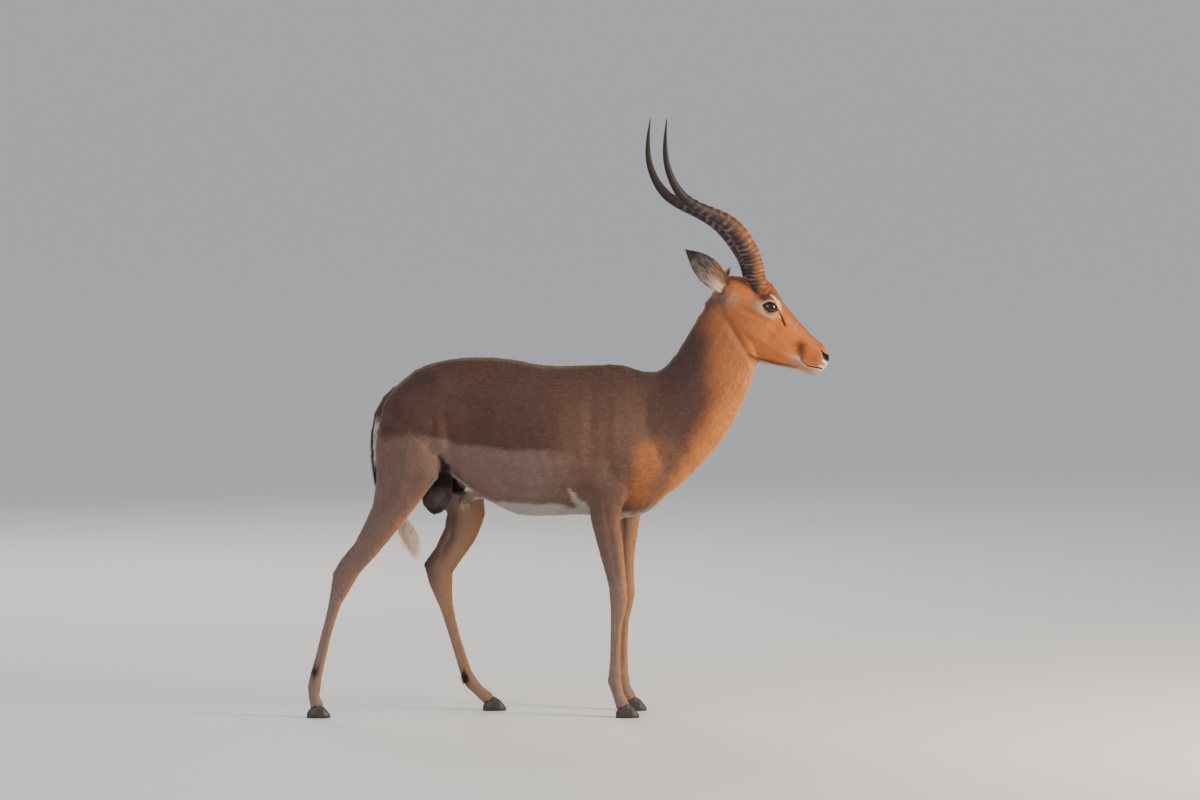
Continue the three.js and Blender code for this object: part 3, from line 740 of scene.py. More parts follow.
def body_colours(points, normals, masks):
    x, y, z = (points / MM).T
    side = np.abs(y)
    wander = ripple(points, 0.07, 11)
    fine = ripple(points, 0.018, 12)
    colour, lay = start_colours(SADDLE, len(x))
    lay(SPINE, smooth_step(0.35, 0.95, normals[:, 2]) * 0.8)
    lay(SHOULDER, smooth_step(-60, 70, x) * (1 - smooth_step(700, 880, z)))
    over = z - line_height(x, SADDLE_LINE) - 4 * wander - 2 * fine
    soft = 8 + 16 * smooth_step(-330, -400, x)
    flank = (1 - smooth_step(-soft, soft, over)) * (1 - 0.8 * smooth_step(-85, 55, x))
    lay(FLANK, flank)
    lay(THIGH, flank * (1 - smooth_step(-390, -320, x)))
    lay(LEG_OUTER, np.clip(masks["leg"], 0, 1) * (1 - smooth_step(420, 620, z)))
    lay(LEG_LOW, np.clip(masks["leg"], 0, 1) * (1 - smooth_step(240, 400, z)))
    # neck: dark toward the nape as painted shade, warm toward the throat as painted low sunlight; the throat
    # is paler in itself too
    across = ((x - 247) * 0.838 - (z - 748) * 0.546) / 130 + 0.05 * wander
    neck = masks["neck"]
    neck = np.clip(neck + masks["trunk"] * smooth_step(170, 260, x), 0, 1)
    edge = line_height(z, NECK_SUN_EDGE)
    lay(NAPE, neck * smooth_step(660, 760, z))
    lay(NECK_SUN, neck * smooth_step(edge - 0.26, edge + 0.22, across))
    lay(THROAT, neck * smooth_step(0.5, 1.0, across))
    # painted low sunlight: a warm patch on the front of the chest
    sunlit_chest = bell(near_path(x, z, CHEST_SUN_LINE)[0], 34) * (1 - masks["leg"])
    lay(CHEST_SUN, np.clip(sunlit_chest * 1.2, 0, 1) * 0.85)
    bib = bell(z - 950, 52) * smooth_step(0.72, 1.0, across) * neck
    lay(WHITE_HAIR, bib * 0.7)
    # legs
    inner = smooth_step(-0.1, 0.75, -np.sign(y) * normals[:, 1])
    lay(LEG_INNER, masks["leg"] * inner * 0.9)
    # painted shade: darker on the rear half of the legs' inner sides
    shaded = smooth_step(0.1, -0.5, normals[:, 0]) * inner * band(z, 330, 560, 40)
    lay(LEG_PAINTED_SHADE, masks["leg"] * shaded * 0.8)
    # painted low sunlight: a warm tone on the forward-facing sides of the legs
    front = smooth_step(0.25, 0.8, normals[:, 0]) * masks["leg"] * band(z, 90, 560, 60)
    lay(LEG_SUNLIT_FRONT, front * 0.9)
    fore = np.clip(masks["fore_right"] + masks["fore_left"], 0, 1)
    lay(SHOULDER, fore * smooth_step(330, 560, z) * (1 - inner) * 0.75)
    # belly, armpit and brisket
    under = z - line_height(x, BELLY_LINE) - 3 * wander - 1.5 * fine
    belly = (1 - smooth_step(-5, 5, under)) * (1 - masks["leg"]) * band(x, -236, 175, 14)
    armpit, share = near_path(x, z, ARMPIT_LINE)
    armpit = (1 - smooth_step(0.3, 1.4, (armpit + 2 * fine) / (1.5 + 14 * share))) * (1 - masks["leg"])
    groin = masks["leg"] * inner * smooth_step(500, 590, z) * 0.2
    brisket = bell(side, 24) * band(x, 90, 228, 18)
    brisket = brisket * (1 - smooth_step(-20, 18, z - 512 - (x - 150) * 0.5)) * (1 - masks["leg"])
    for white in (belly, np.clip(armpit, 0, 1), groin, brisket):
        lay(BELLY, white)
    fold, share = near_path(x, z, FOLD_LINE)
    fold = (fold + fine) / (0.4 + smooth_step(0, 0.5, share)) + 9 * smooth_step(58, 42, side)
    lay(BELLY, (1 - smooth_step(2.4, 5, fold)) * (1 - masks["leg"]))
    # painted shade: a black slit in the fold between the flank and the thigh
    groin_shade, share = near_path(x, z, GROIN_SHADE_SLIT)
    groin_shade = 1 - smooth_step(0.7, 1.3, groin_shade / (3 + 5 * bell(share - 0.6, 0.4)))
    lay(BLACK_HAIR_AND_SHADE, groin_shade * (side < 112) * 0.95)
    # rump: white round the tail, a black stripe down each buttock
    rear = smooth_step(0.35, 0.85, -normals[:, 0]) * (1 - masks["tail"])
    disc = rear * bell(side, 34) * band(z, 520, 744 + 4 * fine, 22)
    lay(WHITE_HAIR, disc * 1.2)
    stripe = bell(side - 46 - 2 * fine, 9 - 4 * smooth_step(700, 770, z))
    lay(BLACK_HAIR_AND_SHADE, stripe * band(z, 560, 752, 26) * rear * 1.5)
    # tail, scrotum, sheath
    back_line = smooth_step(0.15, 0.6, -normals[:, 0]) * smooth_step(540, 590, z) * bell(side, 9)
    tail = lay_colour(np.tile(WHITE_HAIR, (len(x), 1)), BLACK_HAIR_AND_SHADE, back_line * 1.6)
    tail = lay_colour(tail, SADDLE, smooth_step(734, 772, z + 5 * fine))
    lay(tail, masks["tail"])
    # painted shade: black laid in the gap between the thigh's edge and the flank's fold
    behind = smooth_step(0, 7, x - line_height(z, THIGH_EDGE))
    behind = behind * smooth_step(0, 7, line_height(z, FOLD_EDGE) - x) * band(z, 566, 668, 6)
    behind = behind * np.clip((1 - masks["leg"]) + inner, 0, 1) * (side < 88)
    lay(BLACK_HAIR_AND_SHADE, behind * (1 - belly))
    pouch = lay_colour(np.tile(GREY_SKIN, (len(x), 1)), BLACK_HAIR_AND_SHADE, smooth_step(560, 612, z))
    pouch = lay_colour(pouch, paint(112, 92, 90), band(z, 536, 582, 14) * (0.5 + 0.3 * fine))
    pouch = lay_colour(pouch, BLACK_HAIR_AND_SHADE, 1 - smooth_step(522, 538, z))
    lay(pouch, masks["scrotum"])
    sheath = spot(x, z, -279, 562, 13, 22) * (1 - masks["leg"]) * (side < 40)
    lay(BLACK_HAIR_AND_SHADE, sheath * 1.1)
    for at_x, at_z in GLAND_SPOTS:
        gland = spot(x, z, at_x, at_z, 13, 20) * masks["leg"]
        gland = gland * smooth_step(0.25, -0.35, normals[:, 0])
        lay(BLACK_HAIR_AND_SHADE, gland * 1.2)
    hock = spot(x, z, -372, 376, 7, 13) * masks["hind_left"]
    lay(BLACK_HAIR_AND_SHADE, hock * 1.2)
    return colour


# %% Colours of the head and ears
# FACE and CHEEK are partly the face's own rufous tone and partly painted low sunlight, warmer and brighter
# than the real coat
FACE, CHEEK, CROWN = paint(196, 112, 56), paint(190, 112, 64), paint(134, 80, 50)
NOSE_BRIDGE, BROW_WHITE, PALE_RING = paint(140, 82, 50), paint(242, 208, 176), paint(200, 160, 134)
EYE_PATCH, TEMPLE_GREY, EYE_BLACK = paint(90, 60, 50), paint(132, 104, 90), paint(24, 16, 15)
SMUDGE_AND_SHADE, LIP, CHIN, NOSE_PAD = paint(88, 52, 36), paint(188, 146, 124), paint(206, 180, 158), paint(26, 20, 21)
EAR_BACK, EAR_HOLLOW, EAR_STREAK = paint(178, 108, 62), paint(96, 86, 94), paint(34, 26, 30)
BACK_GREY, EAR_WHITE, PAINTED_JAW_SHADE = paint(100, 94, 98), paint(222, 196, 176), paint(160, 88, 46)
EYE_UNDERLINE = [(10, 42), (20, 32), (40, 27), (58, 32), (66, 40)]
THROAT_LATCH = [(-30, -30), (10, -56), (48, -74)]
TEAR_LINE = [(64, 52), (70, 47), (78, 41), (90, 31), (104, 22)]
SMUDGE_LINE = [(162, 0), (169, -14), (178, -28)]
LIP_EDGE = [(230, -5), (241, -6), (246, -14), (240, -24)]
CHIN_LINE = [(120, -74), (170, -64), (210, -56), (240, -40)]
JAW_SHADE_LINE = [(30, -84), (80, -82), (130, -68), (176, -56)]


def head_colours(points, normals):
    x, out, z = face_places(points)
    turned = normals @ HEAD_TURN
    fine = ripple(points, 0.009, 22)
    colour, lay = start_colours(FACE, len(x))
    lay(CROWN, smooth_step(46, 86, z + 2 * fine) * (1 - smooth_step(40, 90, x)))
    lay(CHEEK, (1 - smooth_step(-10, 26, z)) * (1 - smooth_step(60, 130, x)))
    bridge = smooth_step(0.25, 0.8, turned[:, 2]) * smooth_step(40, 90, x) * (1 - smooth_step(205, 232, x))
    lay(NOSE_BRIDGE, bridge * 0.85)
    lay(TEMPLE_GREY, spot(x, z, 6, 34, 22, 17) * 0.8)
    lay(PALE_RING, bell(near_path(x, z, EYE_UNDERLINE)[0], 7.5) * 0.8)
    lay(EYE_PATCH, spot(x, z, 20, 74, 15, 12) + spot(x, z, 10, 62, 15, 9))
    strands = 0.5 + 0.5 * np.sin((x + 0.6 * z) / 1.9 + 2.5 * fine)
    ear_foot = spot(x, z, -55, 22, 18, 17) * (0.45 + 0.6 * strands)
    lay(PALE_RING, ear_foot * 0.8)
    behind = spot(x, z, -80, 1, 20, 26) * (0.7 + 0.3 * strands)
    lay(BACK_GREY, np.clip(behind * 1.1, 0, 1))
    # painted shade along the throat latch, under the rear of the jaw
    lay(PAINTED_JAW_SHADE, bell(near_path(x, z, THROAT_LATCH)[0], 11) * 0.75)
    distance, share = near_path(x, z, BROW_ARC)
    wide = 0.45 + 0.75 * bell(share - 0.55, 0.3)
    arc = (1 - smooth_step(2.6, 5.6, (distance + 0.9 * fine) / wide)) * smooth_step(0, 0.12, share + 0.02)
    lay(BROW_WHITE, arc * smooth_step(12, 26, out))
    tear, share = near_path(x, z, TEAR_LINE)
    tear = (1 - smooth_step(1.6, 4.2, tear)) * (1 - smooth_step(0.8, 1.0, share)) * (out > 22)
    lay(EYE_BLACK, tear * 0.9)
    smudge, share = near_path(x, z, SMUDGE_LINE)
    smudge = smudge / (1.1 - 0.35 * share) + 2.5 * fine
    lay(SMUDGE_AND_SHADE, bell(smudge, 13) * 0.95)
    lay(SMUDGE_AND_SHADE, spot(x, z, 206, -8, 18, 12) * 0.35)
    lay(CHIN, (1 - smooth_step(-8, 4, z - line_height(x, CHIN_LINE))) * (x > 100))
    mouth = near_path(x, z, MOUTH_LINE)[0]
    lower = smooth_step(-2, 3, line_height(x, MOUTH_LINE) - z) * (x > 168)
    lay(LIP, lower * (1 - smooth_step(6, 22, mouth)) * 0.9)
    lay(CHIN, lower * smooth_step(205, 232, x) * 0.9)
    lay(LIP, spot(x, z, 162, -35, 18, 11) * 0.8)
    lay(CHIN, spot(x, z, 166, -29, 8, 4) * 0.8)
    rim = band(x, 226, 252, 5) * (1 - smooth_step(2, 6, mouth - 3)) * (z > line_height(x, MOUTH_LINE))
    lay(WHITE_HAIR, rim)
    lip_edge, share = near_path(x, z, LIP_EDGE)
    lay(WHITE_HAIR, (1 - smooth_step(2.6, 5.2, lip_edge)) * (out > 6))
    open_lips = 1 - smooth_step(0.55, 1.25, mouth / (0.9 + 1.1 * smooth_step(0, 0.6, share)))
    lay(EYE_BLACK, open_lips * (x > 174))
    # painted shade: a dark line along the lower edge of the jaw, in the smudge tone
    under_jaw_shade, share = near_path(x, z, JAW_SHADE_LINE)
    lay(SMUDGE_AND_SHADE, (1 - smooth_step(2, 7, under_jaw_shade)) * smooth_step(0.0, 0.15, share) * 0.8)
    under = smooth_step(0.62, 0.9, -turned[:, 2]) * band(x, 45, 235, 15)
    lay(CHIN, under * 0.9)
    nostril, share = near_path(x, z, NOSTRIL)
    width = 1.6 + 5.6 * smooth_step(0.15, 0.9, share)
    hole = (1 - smooth_step(1.05, 1.45, nostril / width)) * (x > 203) * (out > 2)
    pale = bell(nostril / width - 1.75, 0.4) * (x > 200) * (x < 226) * (out > 8)
    lay(PALE_RING, pale * 0.7)
    pad = smooth_step(0.1, 0.5, turned[:, 0]) * (1 - smooth_step(9, 14, out))
    pad = pad * band(z, -12, 17, 3) * (x > 225)
    for dark in (hole, pad):
        lay(NOSE_PAD, dark)
    along, up, forth = eye_places(x, out, z)
    margin = lid_margin(along, up)
    lids = smooth_step(-4.2, -2.6, margin) * (forth > 0) * (np.hypot(along, up) < 27)
    streak = bell(margin + 6.5, 1.8) * (up > 4) * (along < 6) * (forth > 0)
    lay(BROW_WHITE, streak * 0.55)
    lay(EYE_BLACK, lids)
    bare = np.clip(lids + hole + pad + (mouth < 2.2) * (x > 172), 0, 1)
    return colour, bare


EARS = {}
for side_name in ("right", "left"):
    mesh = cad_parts["ear_" + side_name].data
    corners = to_head(points_of(mesh)) / MM
    sign = -1 if side_name == "right" else 1
    seat = np.array((-87, sign * 42, 35))
    tip = corners[np.argmax(np.linalg.norm(corners - seat, axis=1))]
    EARS[side_name] = (seat, (tip - seat) / np.linalg.norm(tip - seat), np.linalg.norm(tip - seat))


def ear_places(points, side_name):
    seat, axis, length = EARS[side_name]
    return ((to_head(points) / MM - seat) @ axis) / length


EAR_MOUTH = {"right": np.array((0.3, -1, 0.12)), "left": np.array((0.9, -0.3, -0.3))}


def ear_colours(points, normals, masks):
    colour, lay = start_colours(EAR_BACK, len(points))
    turned = normals @ HEAD_TURN
    for side_name in ("right", "left"):
        seat, axis, _ = EARS[side_name]
        reach = ear_places(points, side_name)
        mouth = EAR_MOUTH[side_name] - axis * (EAR_MOUTH[side_name] @ axis)
        mouth /= np.linalg.norm(mouth)
        wide = np.cross(axis, mouth)
        across = (to_head(points) / MM - seat) @ wide
        inside = smooth_step(-0.05, 0.35, turned @ mouth)
        own = masks["ear_" + side_name]
        # the grey of the hollow is partly painted shade, darker than the inner ear's own pale hair
        lay(EAR_HOLLOW, inside * own)
        streaks = 0.5 + 0.5 * np.sin(across / 4.2 + 1.5 * ripple(points, 0.03, 31))
        middle = bell(reach - 0.5, 0.26) * bell(across, 15)
        dark = np.clip(streaks * 0.75 + middle * 0.55, 0, 1) * band(reach, 0.16, 0.9, 0.1)
        lay(EAR_STREAK, inside * own * dark * 0.8)
        white = bell(reach - 0.1, 0.17) * inside
        lay(EAR_WHITE, white * own * (0.55 + 0.4 * streaks))
        # painted low sunlight: the warm back tone laid along the upper edge of the opening, near the base
        upper = across * np.sign(wide @ np.array((1.0, 0, 0.5)))
        fold = smooth_step(6, 13, upper) * (1 - smooth_step(0.3, 0.5, reach))
        lay(EAR_BACK, fold * own * 0.9)
        rim = bell(turned @ mouth - 0.02, 0.62) ** 0.7 * smooth_step(0.12, 0.3, reach)
        lay(EAR_STREAK, rim * own * 0.95)
        tip = smooth_step(0.755, 0.80, reach + 0.02 * ripple(points, 0.012, 32))
        lay(BLACK_HAIR_AND_SHADE, tip * own)
    return colour


def coat_colours(points, normals, masks):
    body = body_colours(points, normals, masks)
    head, bare = head_colours(points, normals)
    colour = lay_colour(body, head, masks["head"])
    ears = np.clip(masks["ear_right"] + masks["ear_left"], 0, 1)
    colour = colour + (ear_colours(points, normals, masks) - colour) * ears[:, None]
    bare = bare * masks["head"] * (1 - ears)
    mottle = 0.045 * ripple(points, 0.06, 41) + 0.035 * ripple(points, 0.014, 42) * masks["head"]
    return colour * (1 + mottle)[:, None], bare


skin_colour, skin_bare = coat_colours(points_of(skin.data), normals_of(skin.data), regions)
print("painted", len(skin_colour), "points; bare", int(skin_bare.sum()))

# %% [markdown]
# ## Materials of the coat
# Short hair is dull and a little brighter at grazing angles, so the shader has high roughness
# and some sheen. One node group makes the fine grain that skin and tufts share.

# %% Grain group and coat material
coat_grain = bpy.data.node_groups.new("hair_grain", "ShaderNodeTree")
coat_grain.interface.new_socket("Colour", in_out="INPUT", socket_type="NodeSocketColor")
coat_grain.interface.new_socket("Lie", in_out="INPUT", socket_type="NodeSocketFloat")
coat_grain.interface.new_socket("Depth", in_out="INPUT", socket_type="NodeSocketFloat")
coat_grain.interface.new_socket("Colour", in_out="OUTPUT", socket_type="NodeSocketColor")
coat_grain.interface.new_socket("Height", in_out="OUTPUT", socket_type="NodeSocketFloat")


def add_node(tree, kind, **values):
    node = tree.nodes.new(kind)
    for name, value in values.items():
        if hasattr(node, name):
            setattr(node, name, value)
        else:
            node.inputs[name.replace("_", " ")].default_value = value
    return node


def build_grain(tree):
    links = tree.links
    given, made = add_node(tree, "NodeGroupInput"), add_node(tree, "NodeGroupOutput")
    place = add_node(tree, "ShaderNodeTexCoord")
    heights = []
    for stretch in ((90, 420, 420), (420, 420, 90)):
        spread = add_node(tree, "ShaderNodeMapping")
        spread.inputs["Scale"].default_value = stretch
        noise = add_node(tree, "ShaderNodeTexNoise", Scale=1.0, Detail=2.0, Roughness=0.6)
        links.new(place.outputs["Object"], spread.inputs["Vector"])
        links.new(spread.outputs["Vector"], noise.inputs["Vector"])
        heights.append(noise.outputs["Fac"])
    blend = add_node(tree, "ShaderNodeMix", data_type="FLOAT")
    links.new(given.outputs["Lie"], blend.inputs["Factor"])
    links.new(heights[0], blend.inputs["A"])
    links.new(heights[1], blend.inputs["B"])
    shade = add_node(tree, "ShaderNodeMapRange")
    shade.inputs["From Min"].default_value = 0.3
    shade.inputs["From Max"].default_value = 0.7
    shade.inputs["To Max"].default_value = 1.0
    links.new(given.outputs["Depth"], shade.inputs["To Min"])
    links.new(blend.outputs["Result"], shade.inputs["Value"])
    tinted = add_node(tree, "ShaderNodeVectorMath", operation="SCALE")
    links.new(given.outputs["Colour"], tinted.inputs[0])
    links.new(shade.outputs["Result"], tinted.inputs["Scale"])
    links.new(tinted.outputs["Vector"], made.inputs["Colour"])
    links.new(blend.outputs["Result"], made.inputs["Height"])


build_grain(coat_grain)


def hair_material(name, depth, bump, roughness, sheen):
    material = bpy.data.materials.new(name)
    material.use_nodes = True
    tree = material.node_tree
    links = tree.links
    shader = tree.nodes["Principled BSDF"]
    shader.inputs["Specular IOR Level"].default_value = 0.25
    shader.inputs["Sheen Weight"].default_value = sheen
    shader.inputs["Sheen Roughness"].default_value = 0.45
    shader.inputs["Sheen Tint"].default_value = (1.0, 0.93, 0.84, 1)
    colour = add_node(tree, "ShaderNodeAttribute", attribute_name="coat_colour")
    lie = add_node(tree, "ShaderNodeAttribute", attribute_name="lie")
    grain = add_node(tree, "ShaderNodeGroup")
    grain.node_tree = coat_grain
    grain.inputs["Depth"].default_value = depth
    links.new(colour.outputs["Color"], grain.inputs["Colour"])
    links.new(lie.outputs["Fac"], grain.inputs["Lie"])
    links.new(grain.outputs["Colour"], shader.inputs["Base Color"])
    if bump:
        bumps = add_node(tree, "ShaderNodeBump", Strength=bump, Distance=0.002)
        links.new(grain.outputs["Height"], bumps.inputs["Height"])
        links.new(bumps.outputs["Normal"], shader.inputs["Normal"])
        bare = add_node(tree, "ShaderNodeAttribute", attribute_name="bare")
        wet = add_node(tree, "ShaderNodeMapRange")
        wet.inputs["To Min"].default_value = roughness
        wet.inputs["To Max"].default_value = 0.34
        links.new(bare.outputs["Fac"], wet.inputs["Value"])
        links.new(wet.outputs["Result"], shader.inputs["Roughness"])
    else:
        shader.inputs["Roughness"].default_value = roughness
    return material


skin_material = hair_material("skin_hair", 0.88, 0.35, 0.8, 0.18)
tuft_material = hair_material("coat_hair", 0.94, 0.0, 0.72, 0.22)


def store_colours(mesh, colours):
    layer = mesh.color_attributes.new("coat_colour", "FLOAT_COLOR", "POINT")
    full = np.ones((len(colours), 4), np.float32)
    full[:, :3] = np.clip(colours, 0, 1)
    layer.data.foreach_set("color", full.ravel())


def store_values(mesh, name, values):
    layer = mesh.attributes.new(name, "FLOAT", "POINT")
    layer.data.foreach_set("value", np.asarray(values, np.float32))


def lie_values(masks):
    """How far the hair runs down instead of back, from 0 to 1."""
    return np.clip(masks["leg"] + masks["neck"] * 0.8 + masks["tail"], 0, 1)


store_colours(skin.data, skin_colour)
store_values(skin.data, "lie", lie_values(regions))
store_values(skin.data, "bare", skin_bare)
skin.data.materials.append(skin_material)

# %% [markdown]
# ## An unwrap of the skin
# The skin is unrolled once onto a flat sheet. Each tuft later gets
# a tiny patch at its root's place on the same sheet.

# %% Unwrap
BAKE_MAP = "OFBake"
skin.data.uv_layers.new(name=BAKE_MAP)
bpy.context.view_layer.objects.active = skin
skin.select_set(True)
bpy.ops.object.mode_set(mode="EDIT")
bpy.ops.mesh.select_all(action="SELECT")
bpy.ops.uv.smart_project(angle_limit=math.radians(66), island_margin=0.002)
bpy.ops.object.mode_set(mode="OBJECT")
skin.select_set(False)
print("unwrapped")

# %% [markdown]
# ## The lie of the coat
# Hair points away from the nose and down: back along the barrel, down and back on the neck, down
# the legs, from nose to crown on the face, from root to tip on the ears.

# %% The lie


def unit(vectors):
    return vectors / np.maximum(np.linalg.norm(vectors, axis=1), 1e-9)[:, None]


def lie_of_coat(points, normals, masks):
    x, _, z = (points / MM).T
    count = len(x)
    trunk = np.stack([-np.ones(count), np.zeros(count), -0.25 - 0.5 * smooth_step(720, 560, z)], axis=1)
    hips = smooth_step(-300, -440, x)[:, None] * np.array((0.55, 0, -0.75))
    neck = np.tile(np.array((-0.75, 0, -0.7)), (count, 1))
    leg = np.stack([-0.25 * smooth_step(300, 620, z), np.zeros(count), -np.ones(count)], axis=1)
    face = np.array((-1.0, 0, -0.12)) @ HEAD_TURN.T
    way = unit(trunk + hips)
    for kind, push in (("neck", neck), ("leg", leg), ("scrotum", leg), ("tail", leg)):
        way = way + (push - way) * masks[kind][:, None]
    way = way + (face - way) * masks["head"][:, None]
    for side_name in ("right", "left"):
        axis = HEAD_TURN @ EARS[side_name][1]
        way = way + (axis - way) * masks["ear_" + side_name][:, None]
    dice = np.random.default_rng(5)
    way = unit(way) + dice.normal(scale=0.07, size=(count, 3))
    way -= normals * np.sum(way * normals, axis=1)[:, None]
    return unit(way)


# %% [markdown]
# ## Tufts
# A tuft is a slim closed spike of four triangles: a left and a right root, a third root on top,
# and a tip. Hundreds of thousands of them are joined into a few meshes straight from arrays, as
# separate objects would be far too slow.

# %% Tuft helpers
skin.data.calc_loop_triangles()
corner_points = np.empty(len(skin.data.loop_triangles) * 3, np.int32)
corner_loops = np.empty_like(corner_points)
skin.data.loop_triangles.foreach_get("vertices", corner_points)
skin.data.loop_triangles.foreach_get("loops", corner_loops)
corner_points = corner_points.reshape(-1, 3)
corner_loops = corner_loops.reshape(-1, 3)
skin_points, skin_normals = points_of(skin.data), normals_of(skin.data)
skin_uv = np.empty(len(skin.data.loops) * 2)
skin.data.uv_layers[BAKE_MAP].data.foreach_get("uv", skin_uv)
skin_uv = skin_uv.reshape(-1, 2)
a, b, c = (skin_points[corner_points[:, k]] for k in range(3))
triangle_area = np.linalg.norm(np.cross(b - a, c - a), axis=1) / 2
print("skin triangles", len(corner_points), "area", round(triangle_area.sum(), 3), "m2")


def mean_of(values):
    return values[corner_points].mean(axis=1)


def spread_roots(weight, count, seed):
    """Random roots on the skin; weight says how dense they stand on each triangle."""
    dice = np.random.default_rng(seed)
    share = triangle_area * weight
    picked = dice.choice(len(share), size=count, p=share / share.sum())
    u, v = dice.random(count), dice.random(count)
    over = u + v > 1
    u[over], v[over] = 1 - u[over], 1 - v[over]
    shares = np.stack([1 - u - v, u, v], axis=1)

    def at_root(values):
        return np.einsum("ij,ij...->i...", shares, values[corner_points[picked]])

    uv = np.einsum("ij,ijk->ik", shares, skin_uv[corner_loops[picked]])
    masks = {kind: at_root(values) for kind, values in regions.items()}
    return {
        "point": at_root(skin_points),
        "normal": unit(at_root(skin_normals)),
        "uv": uv,
        "masks": masks,
        "bare": at_root(skin_bare),
    }


SINK = 0.4 * MM
PATCH = 0.003
TUFT_FACES = np.array([(0, 1, 2), (0, 3, 1), (1, 3, 2), (2, 3, 0)])
TUFT_SHADE = np.array((0.86, 0.86, 0.98, 1.06))
PATCH_CORNERS = np.array([(0, 0), (PATCH, 0), (0, PATCH), (PATCH, PATCH)])


def hair_mesh(name, corners, faces, shade, colour, lie, patch, roots):
    """Copies of one small closed form, one for each root, with colours, lie and a bake patch."""
    count, own = corners.shape[:2]
    mesh = bpy.data.meshes.new(name)
    mesh.vertices.add(count * own)
    mesh.vertices.foreach_set("co", corners.astype(np.float32).ravel())
    every = (np.arange(count)[:, None, None] * own + faces[None]).astype(np.int32)
    mesh.loops.add(every.size)
    mesh.loops.foreach_set("vertex_index", every.ravel())
    mesh.polygons.add(every.size // 3)
    mesh.polygons.foreach_set("loop_start", np.arange(0, every.size, 3, dtype=np.int32))
    mesh.update(calc_edges=True)
    store_colours(mesh, (colour[:, None, :] * shade[None, :, None]).reshape(-1, 3))
    store_values(mesh, "lie", np.repeat(lie, own))
    layer = mesh.uv_layers.new(name=BAKE_MAP)
    sheet = roots["uv"][:, None, None, :] + patch[faces][None]
    layer.data.foreach_set("uv", np.clip(sheet, 0, 1).astype(np.float32).ravel())
    mesh.materials.append(tuft_material)
    return mesh


def ride_as_coat(name, mesh):
    piece = new_object(name, mesh)
    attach(piece, "root")


def tuft_piece(name, roots, way, length, width, lift, colour):
    """Joins closed four-triangle spikes, root to tip along the given way."""
    normal = roots["normal"]
    across = np.cross(normal, way)
    base = roots["point"] - normal * SINK
    rise, run = (length * np.sin(lift))[:, None], (length * np.cos(lift))[:, None]
    tip = roots["point"] + way * run + normal * rise
    half = (width / 2)[:, None]
    top = base + normal * (SINK + 0.5 * half) - way * half
    corners = np.stack([base + across * half, base - across * half, top, tip], axis=1)
    lie = lie_values(roots["masks"])
    mesh = hair_mesh(name, corners, TUFT_FACES, TUFT_SHADE, colour, lie, PATCH_CORNERS, roots)
    lean = across * 0.35
    facing = np.stack([normal + lean, normal - lean, normal, normal + way * 0.15], axis=1)
    mesh.normals_split_custom_set_from_vertices(unit(facing.reshape(-1, 3)))
    ride_as_coat(name, mesh)


def pick(roots, chosen):
    part = {key: value[chosen] for key, value in roots.items() if key != "masks"}
    part["masks"] = {kind: values[chosen] for kind, values in roots["masks"].items()}
    return part


# %% Roots of the short coat
AREA_OF_TUFT = {"body": 6.6, "neck": 6.0, "leg": 3.6, "head": 2.0, "ear": 2.4}
MOST_TUFTS = 49000
COAT_TUFTS = 285000


def small_parts(masks):
    head, ear = masks["head"], np.clip(masks["ear_right"] + masks["ear_left"], 0, 1)
    return np.clip(head, 0, 1), ear


def tuft_area(points, masks):
    head, ear = small_parts(masks)
    low = masks["leg"] * (1 - smooth_step(300, 560, points[:, 2] / MM))
    area = AREA_OF_TUFT["body"] + (AREA_OF_TUFT["neck"] - AREA_OF_TUFT["body"]) * masks["neck"]
    for kind, mask in (("leg", low), ("head", head), ("ear", ear)):
        area = area + (AREA_OF_TUFT[kind] - area) * mask
    return area


weight = 1 / tuft_area(skin_points, regions)
weight = mean_of(weight * (1 - smooth_step(0.2, 0.6, skin_bare)))
roots = spread_roots(weight, COAT_TUFTS, 7)
roots = pick(roots, roots["bare"] < 0.5)
print("roots", len(roots["point"]))

# %% Colour, lie and size of every tuft
dice = np.random.default_rng(8)
colour, _ = coat_colours(roots["point"], roots["normal"], roots["masks"])
count = len(colour)
colour = colour * dice.normal(1.0, 0.055, count).clip(0.8, 1.2)[:, None]
way = lie_of_coat(roots["point"], roots["normal"], roots["masks"])
head, ear = small_parts(roots["masks"])
low = roots["masks"]["leg"] * (1 - smooth_step(0.30, 0.56, roots["point"][:, 2]))
length = 10.5 + 2.0 * roots["masks"]["neck"]
belly = smooth_step(0.5, 0.95, -roots["normal"][:, 2]) * roots["masks"]["trunk"]
length = length + 5.0 * belly
for mask, size in ((low, 6.5), (head, 4.6), (ear, 5.5)):
    length = length + (size - length) * mask
face_x = (to_head(roots["point"]) / MM)[:, 0]
muzzle = smooth_step(120, 220, face_x) * head
length = (length - 1.8 * muzzle) * dice.uniform(0.75, 1.25, count) * MM
width = length * np.where(head + ear > 0.5, 0.17, 0.125)
lift = np.radians(dice.uniform(4, 11, count) + 3 * belly)
print("tufts", round(length.min() / MM, 1), "to", round(length.max() / MM, 1), "mm long")

